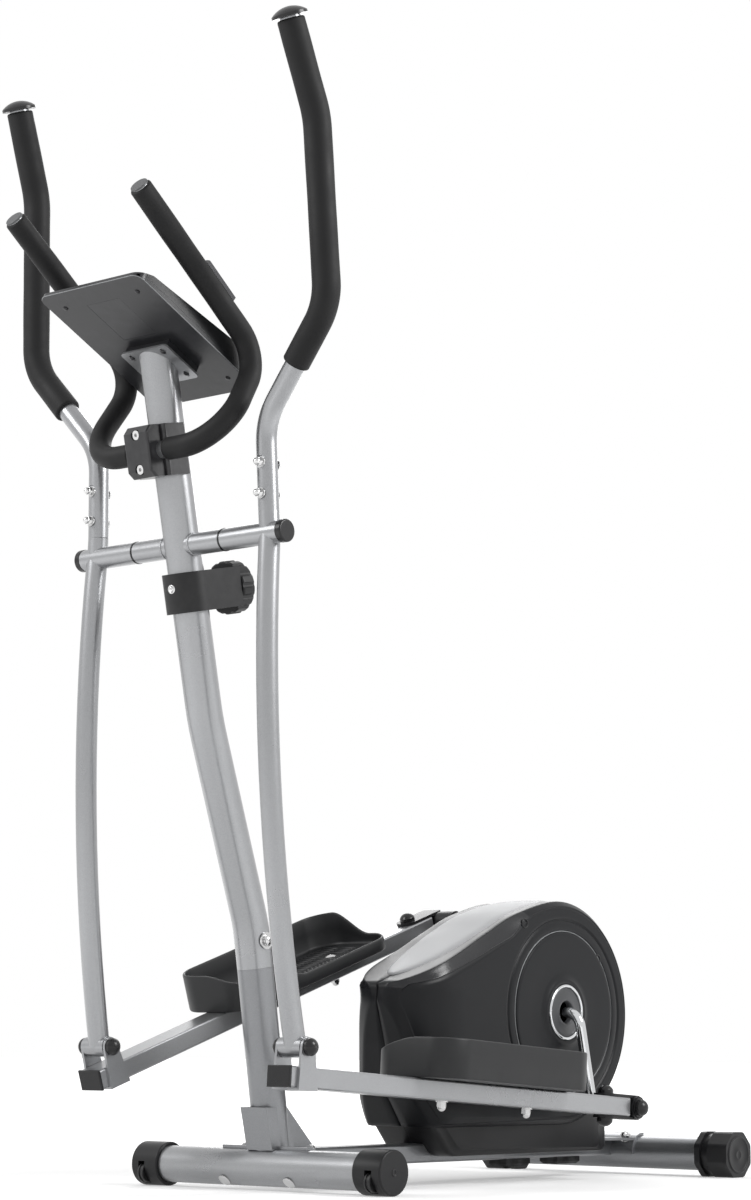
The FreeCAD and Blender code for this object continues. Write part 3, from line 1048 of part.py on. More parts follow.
mast_hole = Part.makeCylinder(mast_r + 0.2, 200, Vector(0, -bar_offset, -100))
front, rear = front.cut(bar_hole), rear.cut(bar_hole).cut(mast_hole)
SCREW_RISE = 24.0
clamp_screws = []
for z in (-SCREW_RISE, SCREW_RISE):
    hole = Part.makeCylinder(3.2, 70, Vector(0, -40, z), Y_AXIS)
    sink = Part.makeCylinder(7.5, 12, Vector(0, -front_depth - 4, z), Y_AXIS)
    front = front.cut(hole).cut(sink)
    rear = rear.cut(Part.makeCylinder(3.2, 8, Vector(0, -1, z), Y_AXIS))
    head = Part.makeCylinder(6.6, 6, Vector(0, -front_depth + 1.5, z), Y_AXIS)
    head = head.fuse(Part.makeCylinder(3.0, front_depth - 3, Vector(0, -front_depth + 7, z), Y_AXIS))
    socket = Part.Face(Part.makePolygon([Vector(2.9 * math.cos(math.radians(60 * k)), -front_depth + 1,
                                                z + 2.9 * math.sin(math.radians(60 * k)))
                                         for k in range(7)])).extrude(Vector(0, 4.5, 0))
    clamp_screws.append(head.cut(socket).removeSplitter())
halves = [solid("clamp_front", front), solid("clamp_rear", rear)]
for half in halves:
    half.Placement = clamp_place
keep(group("bar_clamp", halves), "bar_clamp")
for screw in clamp_screws:
    item = solid("clamp_screw", screw)
    item.Placement = clamp_place
    mast_hardware.append(item)
keep(group("mast_bolts", mast_hardware), "mast_bolts")

# ---------------------------------------------------------------- tension knob
knob_origin = mast_axis(size("knob_z"))
knob_place = Placement(knob_origin, clamp_turn)
box_h, box_half, box_reach = size("knob_box_height"), size("knob_box_half"), size("knob_box_reach")
shell = Part.makeCylinder(box_half, box_h, Vector(0, 0, -box_h / 2))
shell = shell.fuse(Part.makeBox(2 * box_half, box_reach, box_h, Vector(-box_half, 0, -box_h / 2)))
shell = shell.removeSplitter()
hollow = Part.makeBox(2 * box_half - 6, box_reach - mast_r - 7, box_h - 6, Vector(-box_half + 3, mast_r + 4, -box_h / 2 + 3))
shell = shell.cut(hollow).cut(Part.makeCylinder(mast_r + 0.2, box_h + 2, Vector(0, 0, -box_h / 2 - 1)))
shell = shell.cut(Part.makeCylinder(6.0 + gap, 20, Vector(0, box_reach - 10, 0), Y_AXIS))
shell_item = solid("tension_shell", shell)
shell_item.Placement = knob_place
keep(shell_item, "tension_housing")

SCALLOPS = 14
knob_r, knob_d = size("knob_dia") / 2, size("knob_depth")
knob = Part.makeCylinder(knob_r, knob_d, Vector(0, box_reach + 0.5, 0), Y_AXIS)
knob = knob.makeFillet(3.0, [e for e in knob.Edges if e.BoundBox.YLength < 0.1])
for k in range(SCALLOPS):
    angle = 2 * math.pi * k / SCALLOPS
    at = Vector((knob_r + 2.5) * math.cos(angle), box_reach, (knob_r + 2.5) * math.sin(angle))
    knob = knob.cut(Part.makeCylinder(5.0, knob_d + 2, at, Y_AXIS))
knob = knob.fuse(Part.makeCylinder(6.0, 20, Vector(0, box_reach - 12, 0), Y_AXIS)).removeSplitter()
knob_item = solid("knob", knob)
knob_item.Placement = knob_place
keep(knob_item, "tension_knob")

# ---------------------------------------------------------------- console
con_w, con_l, con_d = size("console_width"), size("console_length"), size("console_depth")
con_wall = size("console_wall")
console_place = Placement(Vector(0, size("console_front_y"), size("console_front_z")), console_turn)
to_plate = plate_centre - Vector(0, size("console_front_y"), size("console_front_z"))
boss_s, boss_drop = to_plate.dot(console_across), -to_plate.dot(console_up)
SPLIT = 8.0
EDGE = [(0.0, 0.0), (con_l, 0.0), (con_l, con_d), (con_l - 46, con_d + 6), (26.0, 18.0), (0.0, 7.0)]


def console_block(inset):
    """Wedge-shaped console body with rounded corners in plan, walls moved in by an inset."""
    face = Part.Face(Part.makePolygon([Vector(0, s, h) for s, h in EDGE + EDGE[:1]]))
    if inset:
        face = Part.Face(face.makeOffset2D(-inset).Wires[0])
    block = face.extrude(Vector(con_w - 2 * inset, 0, 0))
    block.translate(Vector(-con_w / 2 + inset, 0, 0))
    plan = rounded_plan(con_l, con_w, 14.0, 80)
    plan.translate(Vector(0, con_l / 2, -10))
    return block.common(plan)


body = console_block(0).cut(console_block(con_wall))
lower = Part.makeBox(400, 600, SPLIT + 20, Vector(-200, -100, -20))
upper = Part.makeBox(400, 600, 200, Vector(-200, -100, SPLIT + 0.2))
back, front = body.common(lower), body.common(upper)
boss_h = boss_drop - size("plate_thick") + 0.5 - 0.2
boss = Part.makeBox(size("plate_width") - 6, 66, boss_h, Vector(-size("plate_width") / 2 + 3, boss_s - 33, -boss_h))
back = back.fuse(boss).removeSplitter()
slope_turn = Rotation(X_AXIS, math.degrees(math.atan2(con_d + 6 - 18.0, con_l - 46 - 26.0)))
deck = Placement(Vector(0, 26.0, 18.0), slope_turn)
window_at = 70.0


def on_deck(shape):
    """Place a shape drawn on the sloping deck of the console."""
    shape.Placement = deck.multiply(shape.Placement)
    return shape


opening = on_deck(Part.makeBox(size("screen_width"), size("screen_length"), 12,
                               Vector(-size("screen_width") / 2, window_at - 45, -8)))
front = front.cut(opening)
BUTTONS = (-1, 0, 1)
button_r = size("button_dia") / 2
button_s = window_at + 62.0
for k in BUTTONS:
    front = front.cut(on_deck(Part.makeCylinder(button_r + 0.3, 12, Vector(k * size("button_pitch"), button_s, -8))))
DOOR = (62.0, 80.0, 1.6)
door_cut = Part.makeBox(DOOR[0] + 0.6, DOOR[1] + 0.6, DOOR[2] + 0.2, Vector(-DOOR[0] / 2 - 0.3, 41.7 - 8, -0.1))
back = back.cut(door_cut)
door = Part.makeBox(DOOR[0], DOOR[1], DOOR[2] - 0.4, Vector(-DOOR[0] / 2, 34.0, 0.1))
window = on_deck(Part.makeBox(size("screen_width") - 0.6, size("screen_length") - 0.6, 2.0,
                              Vector(-size("screen_width") / 2 + 0.3, window_at - 44.7, -2.6)))
ledge = Part.makeBox(140, 40, 36, Vector(-70, con_l - 40, con_d - 1.0))
ledge = ledge.cut(Part.makeBox(134, 34, 40, Vector(-67, con_l - 43, con_d + 6.0)))
front = front.fuse(ledge).removeSplitter()
console_parts = {"console_back": back, "console_front": front, "battery_door": door,
                 "console_window": window}
for name, k in (("mode", -1), ("set", 0), ("reset", 1)):
    stem = Part.makeCylinder(button_r, 5.5, Vector(k * size("button_pitch"), button_s, -3.0))
    stem = stem.makeFillet(0.8, [e for e in stem.Edges if e.CenterOfMass.z > 2.0])
    console_parts[f"button_{name}"] = on_deck(stem)
for name, shape in console_parts.items():
    item = solid(name + "_shape", shape)
    item.Placement = console_place.multiply(item.Placement)
    keep(item, name)
console_screws = []
spots = [(x, s) for x in (-70.0, 70.0) for s in (30.0, con_l - 30)]
for x, s in spots:
    head = dome(Vector(x, s, -0.15), Vector(0, 0, -1), 3.6, 2.0, flat=0.8)
    console_screws.append(head)
for x in (-PLATE_SLOT_X, PLATE_SLOT_X):
    for y in (-PLATE_SLOT_Y, PLATE_SLOT_Y):
        under = -boss_drop - 0.5 - 0.15
        head = dome(Vector(x, boss_s + y, under), Vector(0, 0, -1), 4.0, 2.4, flat=1.0)
        console_screws.append(head)
screw_items = housing_screws
for shape in console_screws:
    item = solid("console_screw", shape)
    item.Placement = console_place.multiply(item.Placement)
    screw_items.append(item)
keep(group("cover_screws", screw_items), "cover_screws")

# ---------------------------------------------------------------- check and write
doc.recompute()
for item in doc.Objects:
    if "Invalid" in item.State or "Error" in item.State:
        raise RuntimeError(f"{item.Label} failed: {item.State}")
bounds = FreeCAD.BoundBox()
for item in NODES:
    if item.Shape.isNull() or not item.Shape.isValid() or not item.Shape.Solids:
        raise RuntimeError(f"{item.Label} has no valid solid")
    bounds.add(item.Shape.optimalBoundingBox(False, False))
shift = Placement(Vector(0, -bounds.Center.y, 0), Rotation())
os.makedirs("parts", exist_ok=True)
for item in NODES:
    item.Placement = shift.multiply(item.Placement)
    item.Shape.exportStep(f"parts/{item.Label}.step")
print(f"{len(NODES)} nodes, shift {bounds.Center.y:.3f}, height {bounds.ZMax:.1f}, floor {bounds.ZMin:.3f}")
print("x", round(bounds.XMin, 1), round(bounds.XMax, 1), "y", round(bounds.YMin, 1), round(bounds.YMax, 1))
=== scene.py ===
"""Looks of a front-mast elliptical trainer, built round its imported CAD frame.

Sizes are in millimetres in the machine's own drawing frame, where y = 0 lies on the front
stabiliser, and Plan.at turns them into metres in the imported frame.
"""

import json
import logging
import math
import random
from dataclasses import dataclass, field
from enum import Enum
from typing import Callable, Iterable, Sequence

import bpy
from mathutils import Matrix, Vector


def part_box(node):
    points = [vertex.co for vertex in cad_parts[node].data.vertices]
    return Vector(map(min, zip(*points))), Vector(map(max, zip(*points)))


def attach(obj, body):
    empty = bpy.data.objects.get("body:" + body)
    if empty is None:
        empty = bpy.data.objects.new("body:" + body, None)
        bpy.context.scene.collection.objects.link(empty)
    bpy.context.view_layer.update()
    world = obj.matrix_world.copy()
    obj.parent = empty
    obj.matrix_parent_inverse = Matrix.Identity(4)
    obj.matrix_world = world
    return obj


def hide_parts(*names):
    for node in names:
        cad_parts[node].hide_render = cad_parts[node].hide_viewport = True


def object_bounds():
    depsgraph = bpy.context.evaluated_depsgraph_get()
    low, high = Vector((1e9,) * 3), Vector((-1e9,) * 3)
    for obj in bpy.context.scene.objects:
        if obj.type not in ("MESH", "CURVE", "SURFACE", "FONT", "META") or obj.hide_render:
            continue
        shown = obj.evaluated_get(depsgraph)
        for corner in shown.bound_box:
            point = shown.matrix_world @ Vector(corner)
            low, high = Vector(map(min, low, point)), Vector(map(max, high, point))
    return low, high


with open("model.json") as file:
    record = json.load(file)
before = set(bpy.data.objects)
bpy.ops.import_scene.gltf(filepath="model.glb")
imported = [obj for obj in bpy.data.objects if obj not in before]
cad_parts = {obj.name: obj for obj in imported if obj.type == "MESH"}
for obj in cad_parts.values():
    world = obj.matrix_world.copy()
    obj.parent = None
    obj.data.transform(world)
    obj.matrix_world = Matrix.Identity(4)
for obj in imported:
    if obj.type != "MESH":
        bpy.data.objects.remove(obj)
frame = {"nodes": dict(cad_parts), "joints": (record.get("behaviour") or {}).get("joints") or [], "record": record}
CAD_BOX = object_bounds()
LOG = logging.getLogger("trainer")
MM = 0.001
SIDES = (("left", 1), ("right", -1))


# ---------------------------------------------------------------- shared maths and mesh tools
@dataclass(frozen=True)
class Plan:
    """Turns drawing positions in millimetres into packed positions in metres."""

    shift: float

    @classmethod
    def from_frame(cls) -> "Plan":
        """Read the shift from the front stabiliser, whose axis is the drawing's y = 0."""
        low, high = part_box("front_stabiliser_tube")
        return cls(shift=(low.y + high.y) / 2)

    def at(self, x: float, y: float, z: float) -> Vector:
        """Packed place of a drawing position."""
        return Vector((x * MM, y * MM + self.shift, z * MM))


PLAN = Plan.from_frame()


def smoothstep(low: float, high: float, value: float) -> float:
    """Soft step from 0 to 1 between two limits."""
    t = min(1.0, max(0.0, (value - low) / (high - low)))
    return t * t * (3.0 - 2.0 * t)


def mesh_piece(name: str, verts: Sequence[Vector], faces: Iterable[Sequence[int]]) -> bpy.types.Object:
    """Make a smooth-shaded mesh object.

    Args:
        name: Name of the piece.
        verts: Points in metres.
        faces: Index loops.

    Returns:
        The new object, linked to the scene.
    """
    mesh = bpy.data.meshes.new(name)
    mesh.from_pydata([tuple(v) for v in verts], [], [tuple(f) for f in faces])
    mesh.validate()
    mesh.update()
    mesh.polygons.foreach_set("use_smooth", [True] * len(mesh.polygons))
    piece = bpy.data.objects.new(name, mesh)
    bpy.context.scene.collection.objects.link(piece)
    return piece


def loft(name: str, rings: Sequence[Sequence[Vector]], cap_start: bool = True, cap_end: bool = True,
         flip: bool = False) -> bpy.types.Object:
    """Skin a row of closed rings that all have the same number of points.

    Args:
        name: Name of the piece.
        rings: Rings in order.
        cap_start: Close the first ring with a fan.
        cap_end: Close the last ring with a fan.
        flip: Turn the faces round.

    Returns:
        The skinned object.
    """
    count = len(rings[0])
    verts = [point for ring in rings for point in ring]
    faces = []
    for row in range(len(rings) - 1):
        for k in range(count):
            a, b = row * count + k, row * count + (k + 1) % count
            faces.append((a, b, b + count, a + count))
    for wanted, ring, offset, turn in ((cap_start, rings[0], 0, True),
                                       (cap_end, rings[-1], (len(rings) - 1) * count, False)):
        if wanted:
            verts.append(sum(ring, Vector()) / count)
            hub = len(verts) - 1
            for k in range(count):
                a, b = offset + k, offset + (k + 1) % count
                faces.append((b, a, hub) if turn else (a, b, hub))
    if flip:
        faces = [face[::-1] for face in faces]
    return mesh_piece(name, verts, faces)


def route(points: Sequence[Vector], radii: Sequence[float], step: float = 4.0) -> list[Vector]:
    """Line through corner points with each inner corner rounded by an arc.

    Args:
        points: Corner points in millimetres.
        radii: One radius for each inner corner.
        step: Spacing along the arcs and runs.

    Returns:
        Points along the rounded line.
    """
    line = [points[0]]
    for corner, before, after, radius in zip(points[1:-1], points, points[2:], radii):
        into, away = (before - corner).normalized(), (after - corner).normalized()
        half = into.angle(away) / 2
        reach = radius / math.tan(half)
        hub = corner + (into + away).normalized() * (radius / math.sin(half))
        start, end = corner + into * reach - hub, corner + away * reach - hub
        turn = start.angle(end)
        count = max(3, int(turn * radius / step))
        for k in range(count + 1):
            t = k / count
            line.append(hub + (start * math.sin((1 - t) * turn) + end * math.sin(t * turn)) / math.sin(turn))
    line.append(points[-1])
    dense = [line[0]]
    for a, b in zip(line, line[1:]):
        pieces = max(1, int((b - a).length / step))
        dense += [a.lerp(b, (k + 1) / pieces) for k in range(pieces)]
    return dense


def sweep(line: Sequence[Vector], radius: Callable[[float, float], float], sides: int = 40,
          name: str = "sweep") -> bpy.types.Object:
    """Round skin along a line of drawing points.

    Args:
        line: Centre points in millimetres.
        radius: Radius for the distance from the start and the distance from the end.
        sides: Points round the skin.
        name: Name of the piece.

    Returns:
        The skinned object with closed ends.
    """
    lengths = [0.0]
    for a, b in zip(line, line[1:]):
        lengths.append(lengths[-1] + (b - a).length)
    total = lengths[-1]
    heading = (line[1] - line[0]).normalized()
    across = heading.orthogonal().normalized()
    rings = []
    for k, centre in enumerate(line):
        fresh = (line[min(k + 1, len(line) - 1)] - line[max(k - 1, 0)]).normalized()
        across = (heading.rotation_difference(fresh) @ across).normalized()
        heading = fresh
        up = heading.cross(across)
        r = radius(lengths[k], total - lengths[k])
        ring = []
        for j in range(sides):
            turn = 2 * math.pi * j / sides
            point = centre + (across * math.cos(turn) + up * math.sin(turn)) * r
            ring.append(PLAN.at(*point))
        rings.append(ring)
    return loft(name, rings)


def lathe(name: str, centre: Vector, axis: Vector, profile: Sequence[tuple[float, float]],
          sides: int = 96, close: bool = False) -> bpy.types.Object:
    """Turn a profile of (radius, height) pairs about an axis, all in millimetres.

    Args:
        name: Name of the piece.
        centre: Foot of the axis.
        axis: Direction that height is measured along.
        profile: Points from one end of the profile to the other.
        sides: Points round the turn.
        close: Join the last point back to the first.

    Returns:
        The turned object.
    """
    unit = axis.normalized()
    across = unit.orthogonal().normalized()
    up = unit.cross(across)
    pairs = list(profile) + ([profile[0]] if close else [])
    rings = []
    for radius, height in pairs:
        ring = []
        for j in range(sides):
            turn = 2 * math.pi * j / sides
            point = centre + unit * height + (across * math.cos(turn) + up * math.sin(turn)) * radius
            ring.append(PLAN.at(*point))
        rings.append(ring)
    return loft(name, rings, cap_start=False, cap_end=False)


# ---------------------------------------------------------------- shader groups
class Graph:
    """Short way to add and join nodes in one node tree."""

    def __init__(self, tree: bpy.types.NodeTree) -> None:
        """Keep the tree that nodes go into."""
        self.tree = tree

    def add(self, kind: str, settings: dict[str, object] | None = None, **values: object) -> bpy.types.Node:
        """Add a node.

        Args:
            kind: Blender's node type name.
            settings: Attributes of the node itself.
            **values: Input values or sockets by name, with spaces as underscores.

        Returns:
            The new node.
        """
        node = self.tree.nodes.new(kind)
        for key, value in (settings or {}).items():
            setattr(node, key, value)
        for key, value in values.items():
            socket = node.inputs[key.replace("_", " ")]
            if isinstance(value, bpy.types.NodeSocket):
                self.tree.links.new(value, socket)
            else:
                socket.default_value = value
        return node

    def math(self, operation: str, first: object, second: object = 0.0) -> bpy.types.NodeSocket:
        """Add a maths node and return its result."""
        node = self.tree.nodes.new("ShaderNodeMath")
        node.operation = operation
        for socket, value in zip(node.inputs, (first, second)):
            if isinstance(value, bpy.types.NodeSocket):
                self.tree.links.new(value, socket)
            else:
                socket.default_value = value
        return node.outputs[0]


def new_group(name: str, inputs: dict[str, tuple[str, object]], outputs: dict[str, str]
              ) -> tuple[Graph, bpy.types.Node, bpy.types.Node]:
    """Start a shader group with named sockets.

    Args:
        name: Name of the group.
        inputs: Socket kind and default value by name.
        outputs: Socket kind by name.

    Returns:
        The graph, its input node and its output node.
    """
    tree = bpy.data.node_groups.new(name, "ShaderNodeTree")
    for label, (kind, value) in inputs.items():
        socket = tree.interface.new_socket(name=label, in_out="INPUT", socket_type=kind)
        socket.default_value = value
    for label, kind in outputs.items():
        tree.interface.new_socket(name=label, in_out="OUTPUT", socket_type=kind)
    graph = Graph(tree)
    return graph, graph.add("NodeGroupInput"), graph.add("NodeGroupOutput")


FLOAT, COLOUR = "NodeSocketFloat", "NodeSocketColor"


def blotch_group() -> bpy.types.NodeTree:
    """Slow change of tone over a surface, as handling and moulding leave it."""
    graph, source, result = new_group(
        "tone_blotch", {"Colour": (COLOUR, (0.5, 0.5, 0.5, 1.0)), "Amount": (FLOAT, 0.1), "Scale": (FLOAT, 6.0)},
        {"Colour": COLOUR, "Mask": FLOAT})
    where = graph.add("ShaderNodeTexCoord")
    wide = graph.add("ShaderNodeTexNoise", Vector=where.outputs["Object"], Scale=source.outputs["Scale"],
                     Detail=5.0, Roughness=0.6)
    spread = graph.add("ShaderNodeMapRange", Value=wide.outputs["Fac"], From_Min=0.3, From_Max=0.7,
                       To_Min=-0.5, To_Max=0.5)
    gain = graph.math("MULTIPLY", spread.outputs["Result"], source.outputs["Amount"])
    bright = graph.math("ADD", gain, 1.0)
    tone = graph.add("ShaderNodeHueSaturation", Color=source.outputs["Colour"], Value=bright)
    graph.tree.links.new(tone.outputs["Color"], result.inputs["Colour"])
    graph.tree.links.new(wide.outputs["Fac"], result.inputs["Mask"])
    return graph.tree


def edge_highlight_group() -> bpy.types.NodeTree:
    """Mask for a painted highlight: bright on sharp outer edges, broken up by noise."""
    graph, source, result = new_group("painted_edge_highlight", {"Amount": (FLOAT, 0.5), "Scale": (FLOAT, 40.0)}, {"Mask": FLOAT})
    shape = graph.add("ShaderNodeNewGeometry")
    sharp = graph.add("ShaderNodeMapRange", Value=shape.outputs["Pointiness"], From_Min=0.515, From_Max=0.60)
    where = graph.add("ShaderNodeTexCoord")
    broken = graph.add("ShaderNodeTexNoise", Vector=where.outputs["Object"], Scale=source.outputs["Scale"], Detail=4.0)
    rough = graph.add("ShaderNodeMapRange", Value=broken.outputs["Fac"], From_Min=0.35, From_Max=0.65)
    both = graph.math("MULTIPLY", sharp.outputs["Result"], rough.outputs["Result"])
    mask = graph.math("MULTIPLY", both, source.outputs["Amount"])
    graph.tree.links.new(mask, result.inputs["Mask"])
    return graph.tree


def grain_group() -> bpy.types.NodeTree:
    """Fine moulded grain: a height field of small pebbles."""
    graph, source, result = new_group("moulded_grain", {"Scale": (FLOAT, 900.0)}, {"Height": FLOAT})
    where = graph.add("ShaderNodeTexCoord")
    cells = graph.add("ShaderNodeTexVoronoi", {"feature": "SMOOTH_F1"}, Vector=where.outputs["Object"],
                      Scale=source.outputs["Scale"], Smoothness=0.6)
    fine = graph.add("ShaderNodeTexNoise", Vector=where.outputs["Object"],
                     Scale=graph.math("MULTIPLY", source.outputs["Scale"], 1.7), Detail=2.0)
    height = graph.math("ADD", graph.math("MULTIPLY", cells.outputs["Distance"], 0.7),
                        graph.math("MULTIPLY", fine.outputs["Fac"], 0.3))
    graph.tree.links.new(height, result.inputs["Height"])
    return graph.tree


def flake_group() -> bpy.types.NodeTree:
    """Metal flake in a paint: tiny cells of lighter and darker tone."""
    graph, source, result = new_group(
        "paint_flake", {"Colour": (COLOUR, (0.5, 0.5, 0.5, 1.0)), "Scale": (FLOAT, 1600.0), "Amount": (FLOAT, 0.2)},
        {"Colour": COLOUR, "Height": FLOAT})
    where = graph.add("ShaderNodeTexCoord")
    cells = graph.add("ShaderNodeTexVoronoi", Vector=where.outputs["Object"], Scale=source.outputs["Scale"])
    grey = graph.add("ShaderNodeSeparateColor", Color=cells.outputs["Color"])
    swing = graph.math("SUBTRACT", grey.outputs["Red"], 0.5)
    bright = graph.math("ADD", graph.math("MULTIPLY", swing, source.outputs["Amount"]), 1.0)
    tone = graph.add("ShaderNodeHueSaturation", Color=source.outputs["Colour"], Value=bright)
    graph.tree.links.new(tone.outputs["Color"], result.inputs["Colour"])
    graph.tree.links.new(grey.outputs["Green"], result.inputs["Height"])
    return graph.tree


def brushed_group() -> bpy.types.NodeTree:
    """Fine parallel scratches of drawn or ground metal."""
    graph, source, result = new_group("brushed_lines", {"Scale": (FLOAT, 60.0)}, {"Height": FLOAT})
    where = graph.add("ShaderNodeTexCoord")
    stretch = graph.add("ShaderNodeMapping", Vector=where.outputs["Object"], Scale=(40.0, 3.0, 3.0))
    lines = graph.add("ShaderNodeTexNoise", Vector=stretch.outputs["Vector"], Scale=source.outputs["Scale"], Detail=6.0)
    graph.tree.links.new(lines.outputs["Fac"], result.inputs["Height"])
    return graph.tree


class Effects:
    """The shared shader groups, each built once."""

    def __init__(self) -> None:
        """Build every group."""
        self.blotch = blotch_group()
        # Mask for the painted edge highlight
        self.edge = edge_highlight_group()
        self.grain = grain_group()
        self.flake = flake_group()
        self.brushed = brushed_group()


class Texture(Enum):
    """Small-scale surface that a finish carries."""

    GRAIN = "moulded grain"
    FLAKE = "metal flake"
    BRUSHED = "brushed lines"
    FOAM = "foam pores"


# ---------------------------------------------------------------- finishes
@dataclass(frozen=True)
class Finish:
    """One finish and the values its shader is built from."""

    name: str
    colour: tuple[float, float, float]
    roughness: float
    texture: Texture = Texture.GRAIN
    texture_scale: float = 900.0
    depth: float = 0.00003
    bump: float = 0.25
    metallic: float = 0.0
    coat: float = 0.0
    sheen: float = 0.0
    specular: float = 0.5
    tone: float = 0.10
    tone_scale: float = 7.0
    # The edge amount and edge colour below paint a highlight: a lighter colour on sharp outer edges
    edge: float = 0.15
    edge_highlight_colour: tuple[float, float, float] = (0.30, 0.30, 0.31)

    def build(self, effects: Effects) -> bpy.types.Material:
        """Make the material.

        Args:
            effects: The shared shader groups.

        Returns:
            A node-based material.
        """
        material = bpy.data.materials.new(self.name)
        material.use_nodes = True
        graph = Graph(material.node_tree)
        shader = material.node_tree.nodes["Principled BSDF"]
        shader.inputs["Metallic"].default_value = self.metallic
        shader.inputs["Coat Weight"].default_value = self.coat
        shader.inputs["Coat Roughness"].default_value = 0.12
        shader.inputs["Sheen Weight"].default_value = self.sheen
        shader.inputs["Specular IOR Level"].default_value = self.specular
        blotch = graph.add("ShaderNodeGroup", {"node_tree": effects.blotch}, Colour=(*self.colour, 1.0),
                           Amount=self.tone, Scale=self.tone_scale)
        colour, height = self.small_surface(graph, effects, blotch.outputs["Colour"])
        # Painted edge highlight: the colour is mixed towards a lighter edge colour on sharp outer edges
        edge_highlight_mask = graph.add("ShaderNodeGroup", {"node_tree": effects.edge}, Amount=self.edge, Scale=60.0)
        edge_highlighted = graph.add("ShaderNodeMix", {"data_type": "RGBA"})
        graph.tree.links.new(edge_highlight_mask.outputs["Mask"], edge_highlighted.inputs[0])
        graph.tree.links.new(colour, edge_highlighted.inputs[6])
        edge_highlighted.inputs[7].default_value = (*self.edge_highlight_colour, 1.0)
        graph.tree.links.new(edge_highlighted.outputs[2], shader.inputs["Base Color"])
        gloss = graph.add("ShaderNodeMapRange", Value=blotch.outputs["Mask"], From_Min=0.3, From_Max=0.7,
                          To_Min=self.roughness * 0.88, To_Max=min(1.0, self.roughness * 1.12))
        graph.tree.links.new(gloss.outputs["Result"], shader.inputs["Roughness"])
        relief = graph.add("ShaderNodeBump", Height=height, Strength=self.bump, Distance=self.depth)
        graph.tree.links.new(relief.outputs["Normal"], shader.inputs["Normal"])
        return material

    def small_surface(self, graph: Graph, effects: Effects, colour: bpy.types.NodeSocket
                      ) -> tuple[bpy.types.NodeSocket, bpy.types.NodeSocket]:
        """Add the fine texture and return the colour and height it gives."""
        if self.texture is Texture.FLAKE:
            flake = graph.add("ShaderNodeGroup", {"node_tree": effects.flake}, Colour=colour,
                              Scale=self.texture_scale, Amount=0.22)
            return flake.outputs["Colour"], flake.outputs["Height"]
        if self.texture is Texture.BRUSHED:
            lines = graph.add("ShaderNodeGroup", {"node_tree": effects.brushed}, Scale=self.texture_scale)
            return colour, lines.outputs["Height"]
        pebbles = graph.add("ShaderNodeGroup", {"node_tree": effects.grain}, Scale=self.texture_scale)
        if self.texture is Texture.FOAM:
            where = graph.add("ShaderNodeTexCoord")
            pores = graph.add("ShaderNodeTexNoise", Vector=where.outputs["Object"], Scale=260.0, Detail=3.0)
            return colour, graph.math("ADD", pebbles.outputs["Height"], pores.outputs["Fac"])
        return colour, pebbles.outputs["Height"]
